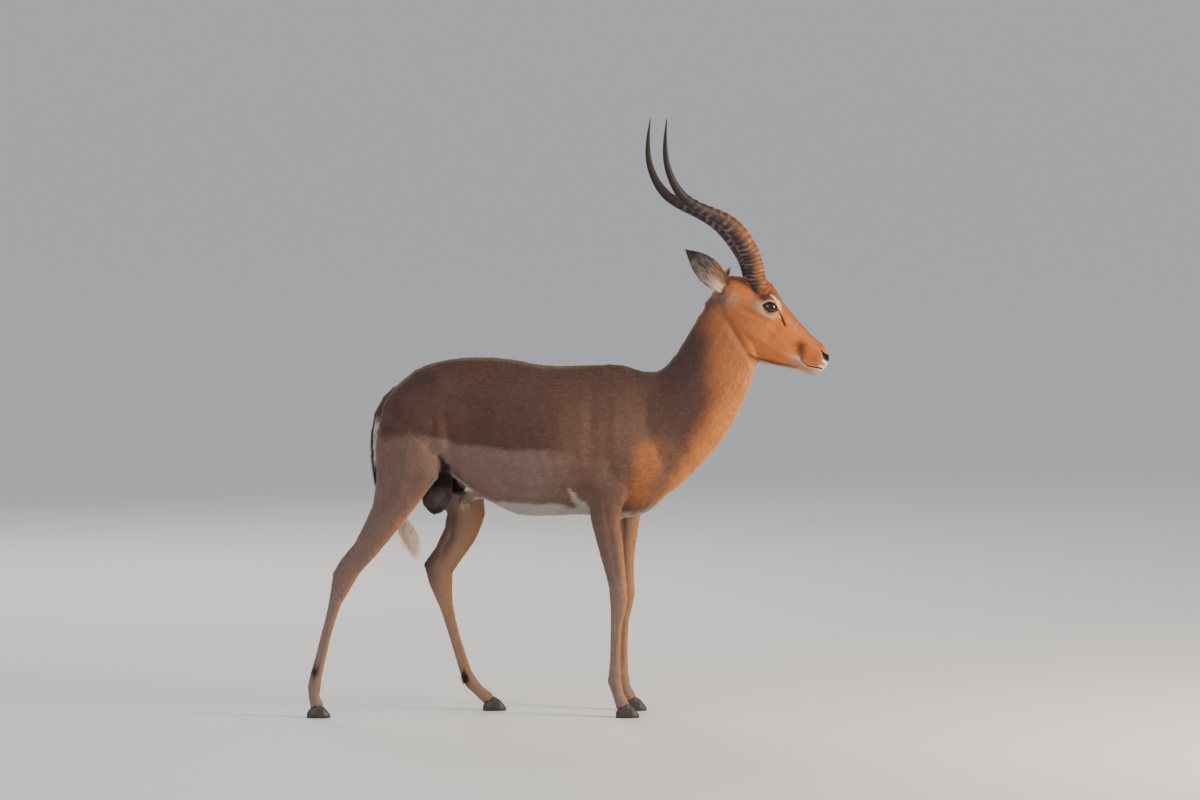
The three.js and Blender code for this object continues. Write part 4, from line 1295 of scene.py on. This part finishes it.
# %% Coat pieces
parts = {
    "coat_head": head + ear > 0.5,
    "coat_legs": (low > 0.5) & (head + ear <= 0.5),
    "coat_neck": (roots["masks"]["neck"] > 0.5) & (head + ear <= 0.5) & (low <= 0.5),
}
rest = ~np.any(list(parts.values()), axis=0)
x_order = np.argsort(np.argsort(np.where(rest, roots["point"][:, 0], 9)))
body_parts = math.ceil(rest.sum() / MOST_TUFTS)
for number in range(body_parts):
    lot = (x_order * body_parts // max(rest.sum(), 1)) == number
    parts[f"coat_body_{number + 1}"] = rest & lot
for name, chosen in list(parts.items()):
    spots = np.flatnonzero(chosen)
    for number, lot in enumerate(np.array_split(spots, math.ceil(len(spots) / MOST_TUFTS))):
        own = name if len(spots) <= MOST_TUFTS else f"{name}_{number + 1}"
        tuft_piece(own, pick(roots, lot), way[lot], length[lot], width[lot], lift[lot], colour[lot])
        print(own, len(lot) * 4, "triangles")

# %% [markdown]
# ## Long hair
# Tail brush, brisket, glands, ears and lashes carry hair too long for a straight spike. Each
# lock there is a slim three-sided tube that bends under its own weight and ends in a point.

# %% Locks
LOCK_STEPS = 4
LOCK_SIDES = 3
LOCK_POINTS = LOCK_STEPS * LOCK_SIDES + 1
LOCK_TAPER = 0.75


def lock_faces():
    """Triangles of one lock: the root, the walls between its rings, and the point."""
    faces = [(0, 2, 1)]
    for step in range(LOCK_STEPS):
        for k in range(LOCK_SIDES):
            here, after = step * LOCK_SIDES + k, step * LOCK_SIDES + (k + 1) % LOCK_SIDES
            if step < LOCK_STEPS - 1:
                faces += [(here, after, after + LOCK_SIDES), (here, after + LOCK_SIDES, here + LOCK_SIDES)]
            else:
                faces.append((here, after, LOCK_POINTS - 1))
    return np.array(faces)


def lock_piece(name, roots, way, length, width, droop, colour):
    """Joins bent, tapered, closed locks; droop is the sag at the tip as a share of the length."""
    count, steps = len(way), np.linspace(0, 1, LOCK_STEPS + 1)
    normal = roots["normal"]
    path = []
    for t in steps:
        bent = way * t + np.array((0, 0, -1.0)) * (droop * t**2)
        path.append(roots["point"] - normal * SINK + bent * length[:, None])
    across = unit(np.cross(normal, way))
    above = np.cross(way, across)
    rings = []
    for t, place in zip(steps[:-1], path[:-1]):
        half = (width / 2 * (1 - LOCK_TAPER * t))[:, None]
        for turn in (0, 2 * math.pi / 3, 4 * math.pi / 3):
            rings.append(place + (across * math.cos(turn) + above * math.sin(turn)) * half)
    corners = np.stack(rings + [path[-1]], axis=1)
    shade = 0.8 + 0.3 * np.append(np.repeat(steps[:-1], LOCK_SIDES), 1.0)
    number = np.arange(LOCK_POINTS)
    patch = np.stack([number / LOCK_POINTS, (number % LOCK_SIDES) / LOCK_SIDES], axis=1) * PATCH
    mesh = hair_mesh(name, corners, lock_faces(), shade, colour, np.ones(count), patch, roots)
    shade_smooth(mesh)
    ride_as_coat(name, mesh)
    print(name, count, "locks")


def grow_locks(name, mask, count, seed, aim, length, width, droop, colour, spread=0.12):
    """Locks where the mask says, each aimed as given, with a little chance in all of it."""
    dice = np.random.default_rng(seed)
    roots = spread_roots(mean_of(np.clip(mask, 0, 1)), count, seed + 1)
    lean = aim(roots) if callable(aim) else np.tile(np.asarray(aim, float), (count, 1))
    way = unit(unit(lean) + dice.normal(scale=spread, size=(count, 3)))
    lengths = length * MM * dice.uniform(0.65, 1.0, count)
    widths = width * MM * dice.uniform(0.7, 1.2, count)
    tint = np.tile(colour, (count, 1)) * dice.normal(1, 0.08, count).clip(0.7, 1.2)[:, None]
    lock_piece(name, roots, way, lengths, widths, droop, tint)


sx, sy, sz = (skin_points / MM).T
TAIL_HAIR = paint(250, 228, 210)
grow_locks(
    "tail_brush", regions["tail"] * (sz < 545), 1700, 51,
    lambda r: r["normal"] * 0.16 + np.array((0.36, 0, -0.9)), 38, 0.9, 0.10, TAIL_HAIR, 0.16,
)
tail_rear = (skin_normals[:, 0] < -0.3) & (sz > 590)
for name, mask, many, tint in (
    ("tail_fringe", (sz > 540) * (sz < 740) * ~tail_rear, 800, TAIL_HAIR),
    ("tail_line", (sz < 742) * tail_rear, 700, BLACK_HAIR_AND_SHADE),
):
    grow_locks(
        name, regions["tail"] * mask, many, 53,
        lambda r: r["normal"] * 0.2 + np.array((0.02, 0, -1.0)), 24, 0.8, 0.05, tint,
    )
for number, (at_x, at_z) in enumerate(((-636, 118), (-262, 92))):
    near = bell(sx - at_x, 12) * bell(sz - at_z, 17) * regions["leg"] > 0.45
    grow_locks(
        f"gland_tuft_{number + 1}", near, 320, 55 + number,
        (-0.55, 0, -0.85), 17, 1.0, 0.1, BLACK_HAIR_AND_SHADE,
    )
sheath_end = bell(sx + 268, 14) * bell(sz - 548, 14) * (1 - regions["leg"])
grow_locks("sheath_tuft", sheath_end > 0.4, 60, 58, (0.12, 0, -1), 30, 0.8, 0.1, paint(196, 168, 130))
brisket_edge = bell(np.abs(sy), 18) * band(sx, 118, 205, 10)
brisket_edge = brisket_edge * (sz < 528) * (skin_normals[:, 2] < -0.45)
grow_locks(
    "brisket_hair", brisket_edge * regions["trunk"], 520, 60,
    (-0.85, 0, -0.3), 18, 0.7, 0.1, BELLY,
)

head_x, head_out, head_z = face_places(skin_points)
for side_name in ("right", "left"):
    reach = ear_places(skin_points, side_name)
    facing = (skin_normals @ HEAD_TURN) @ EAR_MOUTH[side_name]
    ear_hair = (reach > 0.03) & (reach < 0.55) & (facing > 0.45) & (regions["ear_" + side_name] > 0.5)
    aim = HEAD_TURN @ (EARS[side_name][1] + 0.10 * EAR_MOUTH[side_name])
    grow_locks(
        "ear_hair_" + side_name, ear_hair * (1 - 0.8 * reach), 420, 62 + len(side_name),
        aim, 27, 0.5, 0.0, paint(196, 182, 174), 0.14,
    )

along, up, forth = eye_places(head_x, head_out, head_z)
margin = lid_margin(along, up)
lash_line = (np.abs(margin + 2.2) < 1.0) & (up > 2) & (along > -14) & (forth > 0)


def lash_aim(roots):
    head = to_head(roots["point"]) / MM
    forward, outward = 0.2 + (head[:, 0] - 40) / 30, np.sign(head[:, 1]) * 1.2
    return np.stack([forward, outward, np.full(len(head), 0.05)], axis=1) @ HEAD_TURN.T


grow_locks("lashes", lash_line, 150, 66, lash_aim, 9, 0.42, 0.25, EYE_BLACK, 0.08)
crown_mask = bell(head_x + 12, 16) * bell(head_out, 18) * (head_z > 60)
grow_locks(
    "crown_hair", crown_mask * regions["head"], 360, 68,
    lambda r: np.tile(HEAD_TURN @ np.array((-0.9, 0, 0.35)), (len(r["uv"]), 1)), 13, 0.9, 0.1, CROWN,
)

# %% [markdown]
# ## Horns
# A ram's horns sweep back, out and up, with strong rings that stand close at the base and wider
# higher up, and fade into smooth tips. A circle is swept into a straight tube, and every ring of
# it is then moved to its place on a smooth line, with the rings of the horn pushed out on the way.

# %% The line of the horns
# x, y, z, radius of the right horn in millimetres, before the head turns
HORN_LINE = np.array([
    (489, -27, 1056, 22.0), (482, -33, 1090, 24.0), (467, -45, 1158, 25.4), (446, -63, 1201, 25.6),
    (421, -83, 1235, 24.4), (395, -102, 1260, 22.0), (363, -121, 1278, 18.3), (336, -135, 1291, 16.0),
    (300, -149, 1308, 14.2), (268, -160, 1332, 12.2), (243, -169, 1370, 9.6), (228, -172, 1418, 7.4),
    (226, -168, 1470, 4.8), (231, -160, 1524, 1.0),
])  # fmt: skip
HORN_SEAT = np.array((451, 0, 1021))
HORN_STATIONS = 470
HORN_SIDES = 40
RING_TOP = 0.68
FIRST_RING = 43.0
HORN_FACING = np.array((0.6, 0, 0.8))
horn_turn = np.array(Matrix.Rotation(HEAD_YAW, 3, "Z") @ Matrix.Rotation(-HEAD_ROLL, 3, "X"))


def smooth_line(spots, count):
    """Catmull-Rom curve through the spots, at even steps along its length."""
    padded = np.vstack([2 * spots[0] - spots[1], spots, 2 * spots[-1] - spots[-2]])
    fine = []
    for k in range(1, len(padded) - 2):
        p0, p1, p2, p3 = padded[k - 1 : k + 3]
        for t in np.linspace(0, 1, 40, endpoint=False):
            fine.append(
                0.5 * (2 * p1 + (p2 - p0) * t + (2 * p0 - 5 * p1 + 4 * p2 - p3) * t**2
                       + (3 * p1 - p0 - 3 * p2 + p3) * t**3)
            )  # fmt: skip
    fine = np.array(fine + [spots[-1]])
    run = np.append(0, np.cumsum(np.linalg.norm(np.diff(fine[:, :3], axis=0), axis=1)))
    even = np.linspace(0, run[-1], count)
    return np.stack([np.interp(even, run, fine[:, k]) for k in range(spots.shape[1])], axis=1), even


def from_horn(places):
    return (places - HORN_SEAT) @ horn_turn.T * MM + HEAD_SEAT


def ring_places(total):
    """Where the crests of the rings sit along the horn."""
    at, places = FIRST_RING, []
    while at < total * RING_TOP:
        places.append(at)
        at += 11.0 + 13.0 * float(smooth_step(105, 225, np.array(at)))
    return np.array(places)


horn_path, horn_run = smooth_line(HORN_LINE, HORN_STATIONS)
horn_crests = ring_places(horn_run[-1])
print("horn", round(horn_run[-1]), "mm with", len(horn_crests), "rings")


# %% Build a horn
# The front tone is the horn in painted low sunlight and the rear tone is the same horn in painted shade.
HORN_SUNLIT_FRONT, HORN_SHADED_REAR, HORN_CREST = paint(146, 92, 44), paint(58, 46, 52), paint(196, 150, 98)
HORN_DASH, HORN_TIP, HORN_MID = paint(136, 118, 116), paint(40, 32, 32), paint(82, 52, 34)


def ring_phase(run):
    """Goes up by one from crest to crest."""
    counts = np.arange(len(horn_crests), dtype=float)
    first, last = horn_crests[1] - horn_crests[0], horn_crests[-1] - horn_crests[-2]
    phase = np.interp(run, horn_crests, counts)
    phase = np.where(run < horn_crests[0], (run - horn_crests[0]) / first, phase)
    return np.where(run > horn_crests[-1], counts[-1] + (run - horn_crests[-1]) / last, phase)


def make_horn(name, side):
    bm = bmesh.new()
    bmesh.ops.create_circle(bm, segments=HORN_SIDES, radius=1.0)
    rim = bm.verts[:] + bm.edges[:]
    bmesh.ops.spin(
        bm, geom=rim, cent=(0, 0, 0), axis=(0, 0, 1), dvec=(0, 0, 1), angle=0, steps=HORN_STATIONS - 1
    )
    bmesh.ops.holes_fill(bm, edges=[edge for edge in bm.edges if edge.is_boundary], sides=0)
    horn = piece_of(name, bm)
    tube = points_of(horn.data)
    station = np.rint(tube[:, 2]).astype(int)
    turn = np.arctan2(tube[:, 1], tube[:, 0])
    line = horn_path.copy()
    line[:, 1] *= -side
    ahead = unit(np.gradient(line[:, :3], axis=0))
    front = unit(HORN_FACING - ahead * (ahead @ HORN_FACING)[:, None])
    across = np.cross(ahead, front)
    forward = np.cos(turn)
    run = horn_run[station]
    wobble = ripple(np.stack([forward, np.sin(turn), run / 60], axis=1), 1.0, 71 + side)
    phase = ring_phase(run + 2.6 * forward + 2.0 * wobble)
    crest = (0.5 + 0.5 * np.cos(2 * math.pi * phase)) ** 1.3
    strong = 0.66 + 0.34 * np.sin(np.rint(phase) * 4.7 + 2 * forward + 1.4 * wobble)
    crest = crest * strong
    total = horn_run[-1]
    ringed = smooth_step(30, 44, run) * (1 - smooth_step(RING_TOP - 0.09, RING_TOP + 0.02, run / total))
    facing = 0.35 + 0.65 * smooth_step(-0.7, 0.5, forward)
    drop = 3.1 * ringed * facing * (1 - crest) * np.interp(run, [0, 150, total * 0.7], [0.8, 1.0, 0.62])
    dice = np.random.default_rng(73 + side)
    stave = np.rint(turn / (2 * math.pi) * HORN_SIDES).astype(int) % HORN_SIDES
    grooves = dice.normal(size=HORN_SIDES)[stave]
    radius = line[station, 3] - drop + 0.18 * grooves * smooth_step(1.5, 8, line[station, 3])
    oval = 1 - 0.07 * np.abs(np.sin(turn))
    places = line[station, :3] + radius[:, None] * (
        front[station] * forward[:, None] + across[station] * (np.sin(turn) * oval)[:, None]
    )
    world = from_horn(places)
    set_points(horn.data, world)
    fixed = bmesh.new()
    fixed.from_mesh(horn.data)
    bmesh.ops.recalc_face_normals(fixed, faces=fixed.faces)
    fixed.to_mesh(horn.data)
    fixed.free()
    # painted shade on the rear of the horn, and higher up on all but its front
    rear = 1 - smooth_step(-0.55, 0.25, forward + 0.15 * wobble)
    colour, lay = start_colours(HORN_SUNLIT_FRONT, len(run))
    lay(HORN_MID, smooth_step(150, 290, run))
    colour *= (0.5 + 0.5 * np.where(ringed > 0.02, crest * ringed + (1 - ringed), 1.0))[:, None]
    patchy = 0.5 + 0.5 * ripple(world, 0.022, 75 + side)
    colour *= (0.8 + 0.35 * patchy)[:, None]
    foremost = smooth_step(0.1, 0.85, forward)
    # pale crests at the front: partly wear, partly painted highlight
    worn_and_lit = crest**3 * ringed * (0.25 + 0.75 * foremost) * (1 - rear) * (1 - 0.5 * smooth_step(150, 330, run))
    lay(HORN_CREST, worn_and_lit * patchy * 1.1)
    rear = np.clip(rear + 0.75 * smooth_step(200, 330, run) * (1 - foremost), 0, 1)
    lay(HORN_SHADED_REAR * (0.62 + 0.38 * crest)[:, None], rear * 0.95)
    dash = crest**2 * rear * ringed * smooth_step(-0.98, -0.7, -np.abs(forward + 0.55) * 1.6)
    lay(HORN_DASH, dash * 0.7)
    lay(HORN_TIP, smooth_step(0.42, 0.66, run / total) * 0.92)
    store_colours(horn.data, colour * (1 + 0.10 * wobble)[:, None])
    shade_smooth(horn.data)
    return horn


# %% Horn material
def painted_material(name, roughness, grain_size, bump, coat=0.0):
    material = bpy.data.materials.new(name)
    material.use_nodes = True
    tree = material.node_tree
    shader = tree.nodes["Principled BSDF"]
    shader.inputs["Roughness"].default_value = roughness
    shader.inputs["Coat Weight"].default_value = coat
    shader.inputs["Coat Roughness"].default_value = 0.08
    colour = add_node(tree, "ShaderNodeAttribute", attribute_name="coat_colour")
    tree.links.new(colour.outputs["Color"], shader.inputs["Base Color"])
    if bump:
        place = add_node(tree, "ShaderNodeTexCoord")
        noise = add_node(tree, "ShaderNodeTexNoise", Scale=grain_size, Detail=3.0)
        bumps = add_node(tree, "ShaderNodeBump", Strength=bump, Distance=0.001)
        tree.links.new(place.outputs["Object"], noise.inputs["Vector"])
        tree.links.new(noise.outputs["Fac"], bumps.inputs["Height"])
        tree.links.new(bumps.outputs["Normal"], shader.inputs["Normal"])
    return material


horn_material = painted_material("ringed_horn", 0.55, 420, 0.6)
horn_material.node_tree.nodes["Principled BSDF"].inputs["Specular IOR Level"].default_value = 0.3
for side_name, side in (("right", -1), ("left", 1)):
    horn = make_horn("ringed_horn_" + side_name, side)
    horn.data.materials.append(horn_material)
    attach(horn, "root")
    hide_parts("horn_" + side_name)
    print(horn.name, len(horn.data.polygons), "faces")

# %% Hair round the foot of the horns
COLLAR_LOW, COLLAR_HIGH, COLLAR_WIDE = 8, 46, 6.5
COLLAR_HAIR = paint(190, 112, 60)
for side_name, side in (("right", -1), ("left", 1)):
    foot = horn_path[(horn_run > COLLAR_LOW) & (horn_run < COLLAR_HIGH)] * (1, -side, 1, 1)
    foot_line = from_horn(foot[:, :3])
    away = np.linalg.norm(skin_points[:, None, :] - foot_line[None], axis=2)
    beyond = away.min(axis=1) / MM - foot[away.argmin(axis=1), 3]
    ring = band(beyond, -3.0, COLLAR_WIDE, 1.5) * regions["head"] * (head_z > 66)
    upward = unit((foot_line[-1] - foot_line[0])[None])[0]
    grow_locks(
        "horn_collar_" + side_name, ring, 900, 70 + side,
        lambda r: upward + 0.06 * r["normal"], 12, 0.9, -0.02, COLLAR_HAIR,
    )

# %% [markdown]
# ## Eyes
# The eyes are large, very dark and wet. The ball has a slight bulge for the cornea, a level oval
# pupil in a dark brown iris, and a thin clear coat that gives the bright reflection.

# %% Eyeballs
GAZE = np.array((0.26, 0.96, 0.04))
IRIS, IRIS_EDGE, EYE_WHITE = paint(58, 34, 22), paint(22, 14, 12), paint(74, 52, 42)
eye_material = painted_material("wet_eye", 0.3, 100, 0.0, coat=1.0)
eye_material.node_tree.nodes["Principled BSDF"].inputs["Specular IOR Level"].default_value = 0.0
eye_material.node_tree.nodes["Principled BSDF"].inputs["Coat Roughness"].default_value = 0.02


def make_eye(name, side):
    bm = bmesh.new()
    bmesh.ops.create_uvsphere(bm, u_segments=72, v_segments=48, radius=1.0)
    ball = piece_of(name, bm)
    unit_points = points_of(ball.data)
    gaze = GAZE * np.array((1, side, 1))
    gaze /= np.linalg.norm(gaze)
    level = np.cross((0, 0, 1), gaze)
    level /= np.linalg.norm(level)
    upright = np.cross(gaze, level)
    off = np.arccos(np.clip(unit_points[:, 2], -1, 1))
    bulge = 1 + 0.045 * bell(off, 0.62) - 0.02
    along = unit_points[:, 0] * bulge
    high = unit_points[:, 1] * bulge
    deep = unit_points[:, 2] * bulge
    head = level * along[:, None] + upright * high[:, None] + gaze * deep[:, None]
    seat = np.array((EYE_AT.x, side * EYE_AT.y, EYE_AT.z))
    set_points(ball.data, from_head(seat + head * (EYE_RADIUS - 0.4 * MM)))
    pupil = np.hypot(unit_points[:, 0] / 0.40, unit_points[:, 1] / 0.21)
    colour = np.tile(EYE_WHITE, (len(off), 1))
    colour = lay_colour(colour, IRIS_EDGE, 1 - smooth_step(0.80, 0.90, off))
    spokes = 0.8 + 0.2 * np.sin(np.arctan2(unit_points[:, 1], unit_points[:, 0]) * 24)
    colour = lay_colour(colour, IRIS * spokes[:, None], 1 - smooth_step(0.62, 0.76, off))
    colour = lay_colour(colour, paint(8, 6, 8), 1 - smooth_step(0.85, 1.1, pupil))
    store_colours(ball.data, np.where(unit_points[:, 2:3] < 0, EYE_WHITE, colour))
    shade_smooth(ball.data)
    ball.data.materials.append(eye_material)
    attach(ball, "root")
    return ball


for side_name, side in (("right", -1), ("left", 1)):
    ball = make_eye("eyeball_" + side_name, side)
    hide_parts("eye_" + side_name)
print("eyes")

# %% [markdown]
# ## Claws
# Each foot ends in two narrow pointed claws of dark horn. They are rounded copies of the
# construction claws, whose soles stay flat on the floor.

# %% Claws
CLAW_CELL = 1.1 * MM
claw_material = painted_material("claw_horn", 0.38, 700, 0.25)
CLAW_DARK, CLAW_PALE = paint(46, 40, 38), paint(96, 84, 76)
for node in [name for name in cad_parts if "claw" in name]:
    claw = remeshed("rounded_" + node, [node], CLAW_CELL)
    places = points_of(claw.data)
    flat = places[:, 2] < 1.0 * MM
    smooth = relax(places, edges_of(claw.data), 10)
    smooth[flat, 2] = 0.0
    smooth[:, 2] = np.maximum(smooth[:, 2], 0)
    set_points(claw.data, smooth)
    growth = 0.5 + 0.5 * np.sin(smooth[:, 2] / MM * 1.6 + ripple(smooth, 0.02, 81))
    colour = lay_colour(np.tile(CLAW_DARK, (len(smooth), 1)), CLAW_PALE, growth * 0.25)
    colour = lay_colour(colour, CLAW_PALE, smooth_step(0.022, 0.036, smooth[:, 2]) * 0.5)
    store_colours(claw.data, colour)
    shade_smooth(claw.data)
    claw.data.materials.append(claw_material)
    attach(claw, "root")
    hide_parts(node)

# %% [markdown]
# ## Thinning the skin
# Colours and tufts were laid on fine cells. Under the coat these are no longer seen, so edges are
# collapsed there until the skin has under 200,000 triangles. Bare skin keeps its cells.

# %% Thin the skin
SKIN_SHARE = 0.6
hidden_places = np.flatnonzero(skin_bare < 0.3).tolist()
skin.vertex_groups.new(name="under_coat").add(hidden_places, 1.0, "REPLACE")
thin = skin.modifiers.new("thin", "DECIMATE")
thin.ratio = SKIN_SHARE
thin.vertex_group = "under_coat"
apply_modifiers(skin)
print("thinned skin", len(skin.data.polygons), "faces")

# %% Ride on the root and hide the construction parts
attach(skin, "root")
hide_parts(*FLESH)

# %% [markdown]
# ## Floor and light
# A plain pale floor and a pale sky. A warm key light stands low ahead of the animal, a wide cool
# fill on its right toward the rear, and a rim light on its far side outlines the back.

# %% Floor and lights
FLOOR_REACH = 400.0
FLOOR_TONE, SKY_TONE = (0.70, 0.69, 0.67, 1), (0.80, 0.83, 0.88, 1)
# name, place, target, size, watts, tint
LIGHTS = [
    ("key", (3.3, -1.2, 1.75), (0.35, 0, 0.85), 1.2, 165, (1.0, 0.80, 0.57)),
    ("fill", (-3.2, -4.4, 3.2), (0, 0, 0.8), 3.2, 100, (0.90, 0.94, 1.0)),
    ("rim", (-1.6, 4.2, 3.2), (0, 0, 0.8), 2.2, 110, (1.0, 0.96, 0.9)),
]
floor_bm = bmesh.new()
bmesh.ops.create_circle(floor_bm, cap_ends=True, segments=96, radius=FLOOR_REACH)
floor = piece_of("floor", floor_bm)
floor_paint = bpy.data.materials.new("floor_paint")
floor_paint.use_nodes = True
floor_shader = floor_paint.node_tree.nodes["Principled BSDF"]
floor_shader.inputs["Base Color"].default_value = FLOOR_TONE
floor_shader.inputs["Roughness"].default_value = 0.9
floor.data.materials.append(floor_paint)

world = bpy.data.worlds.new("studio")
bpy.context.scene.world = world
world.use_nodes = True
world.node_tree.nodes["Background"].inputs["Color"].default_value = SKY_TONE
world.node_tree.nodes["Background"].inputs["Strength"].default_value = 0.75

for name, place, target, size, watts, tint in LIGHTS:
    light = bpy.data.lights.new(name, "AREA")
    light.shape = "DISK"
    light.size = size
    light.energy = watts
    light.color = tint
    look_at(new_object(name, light), place, target)
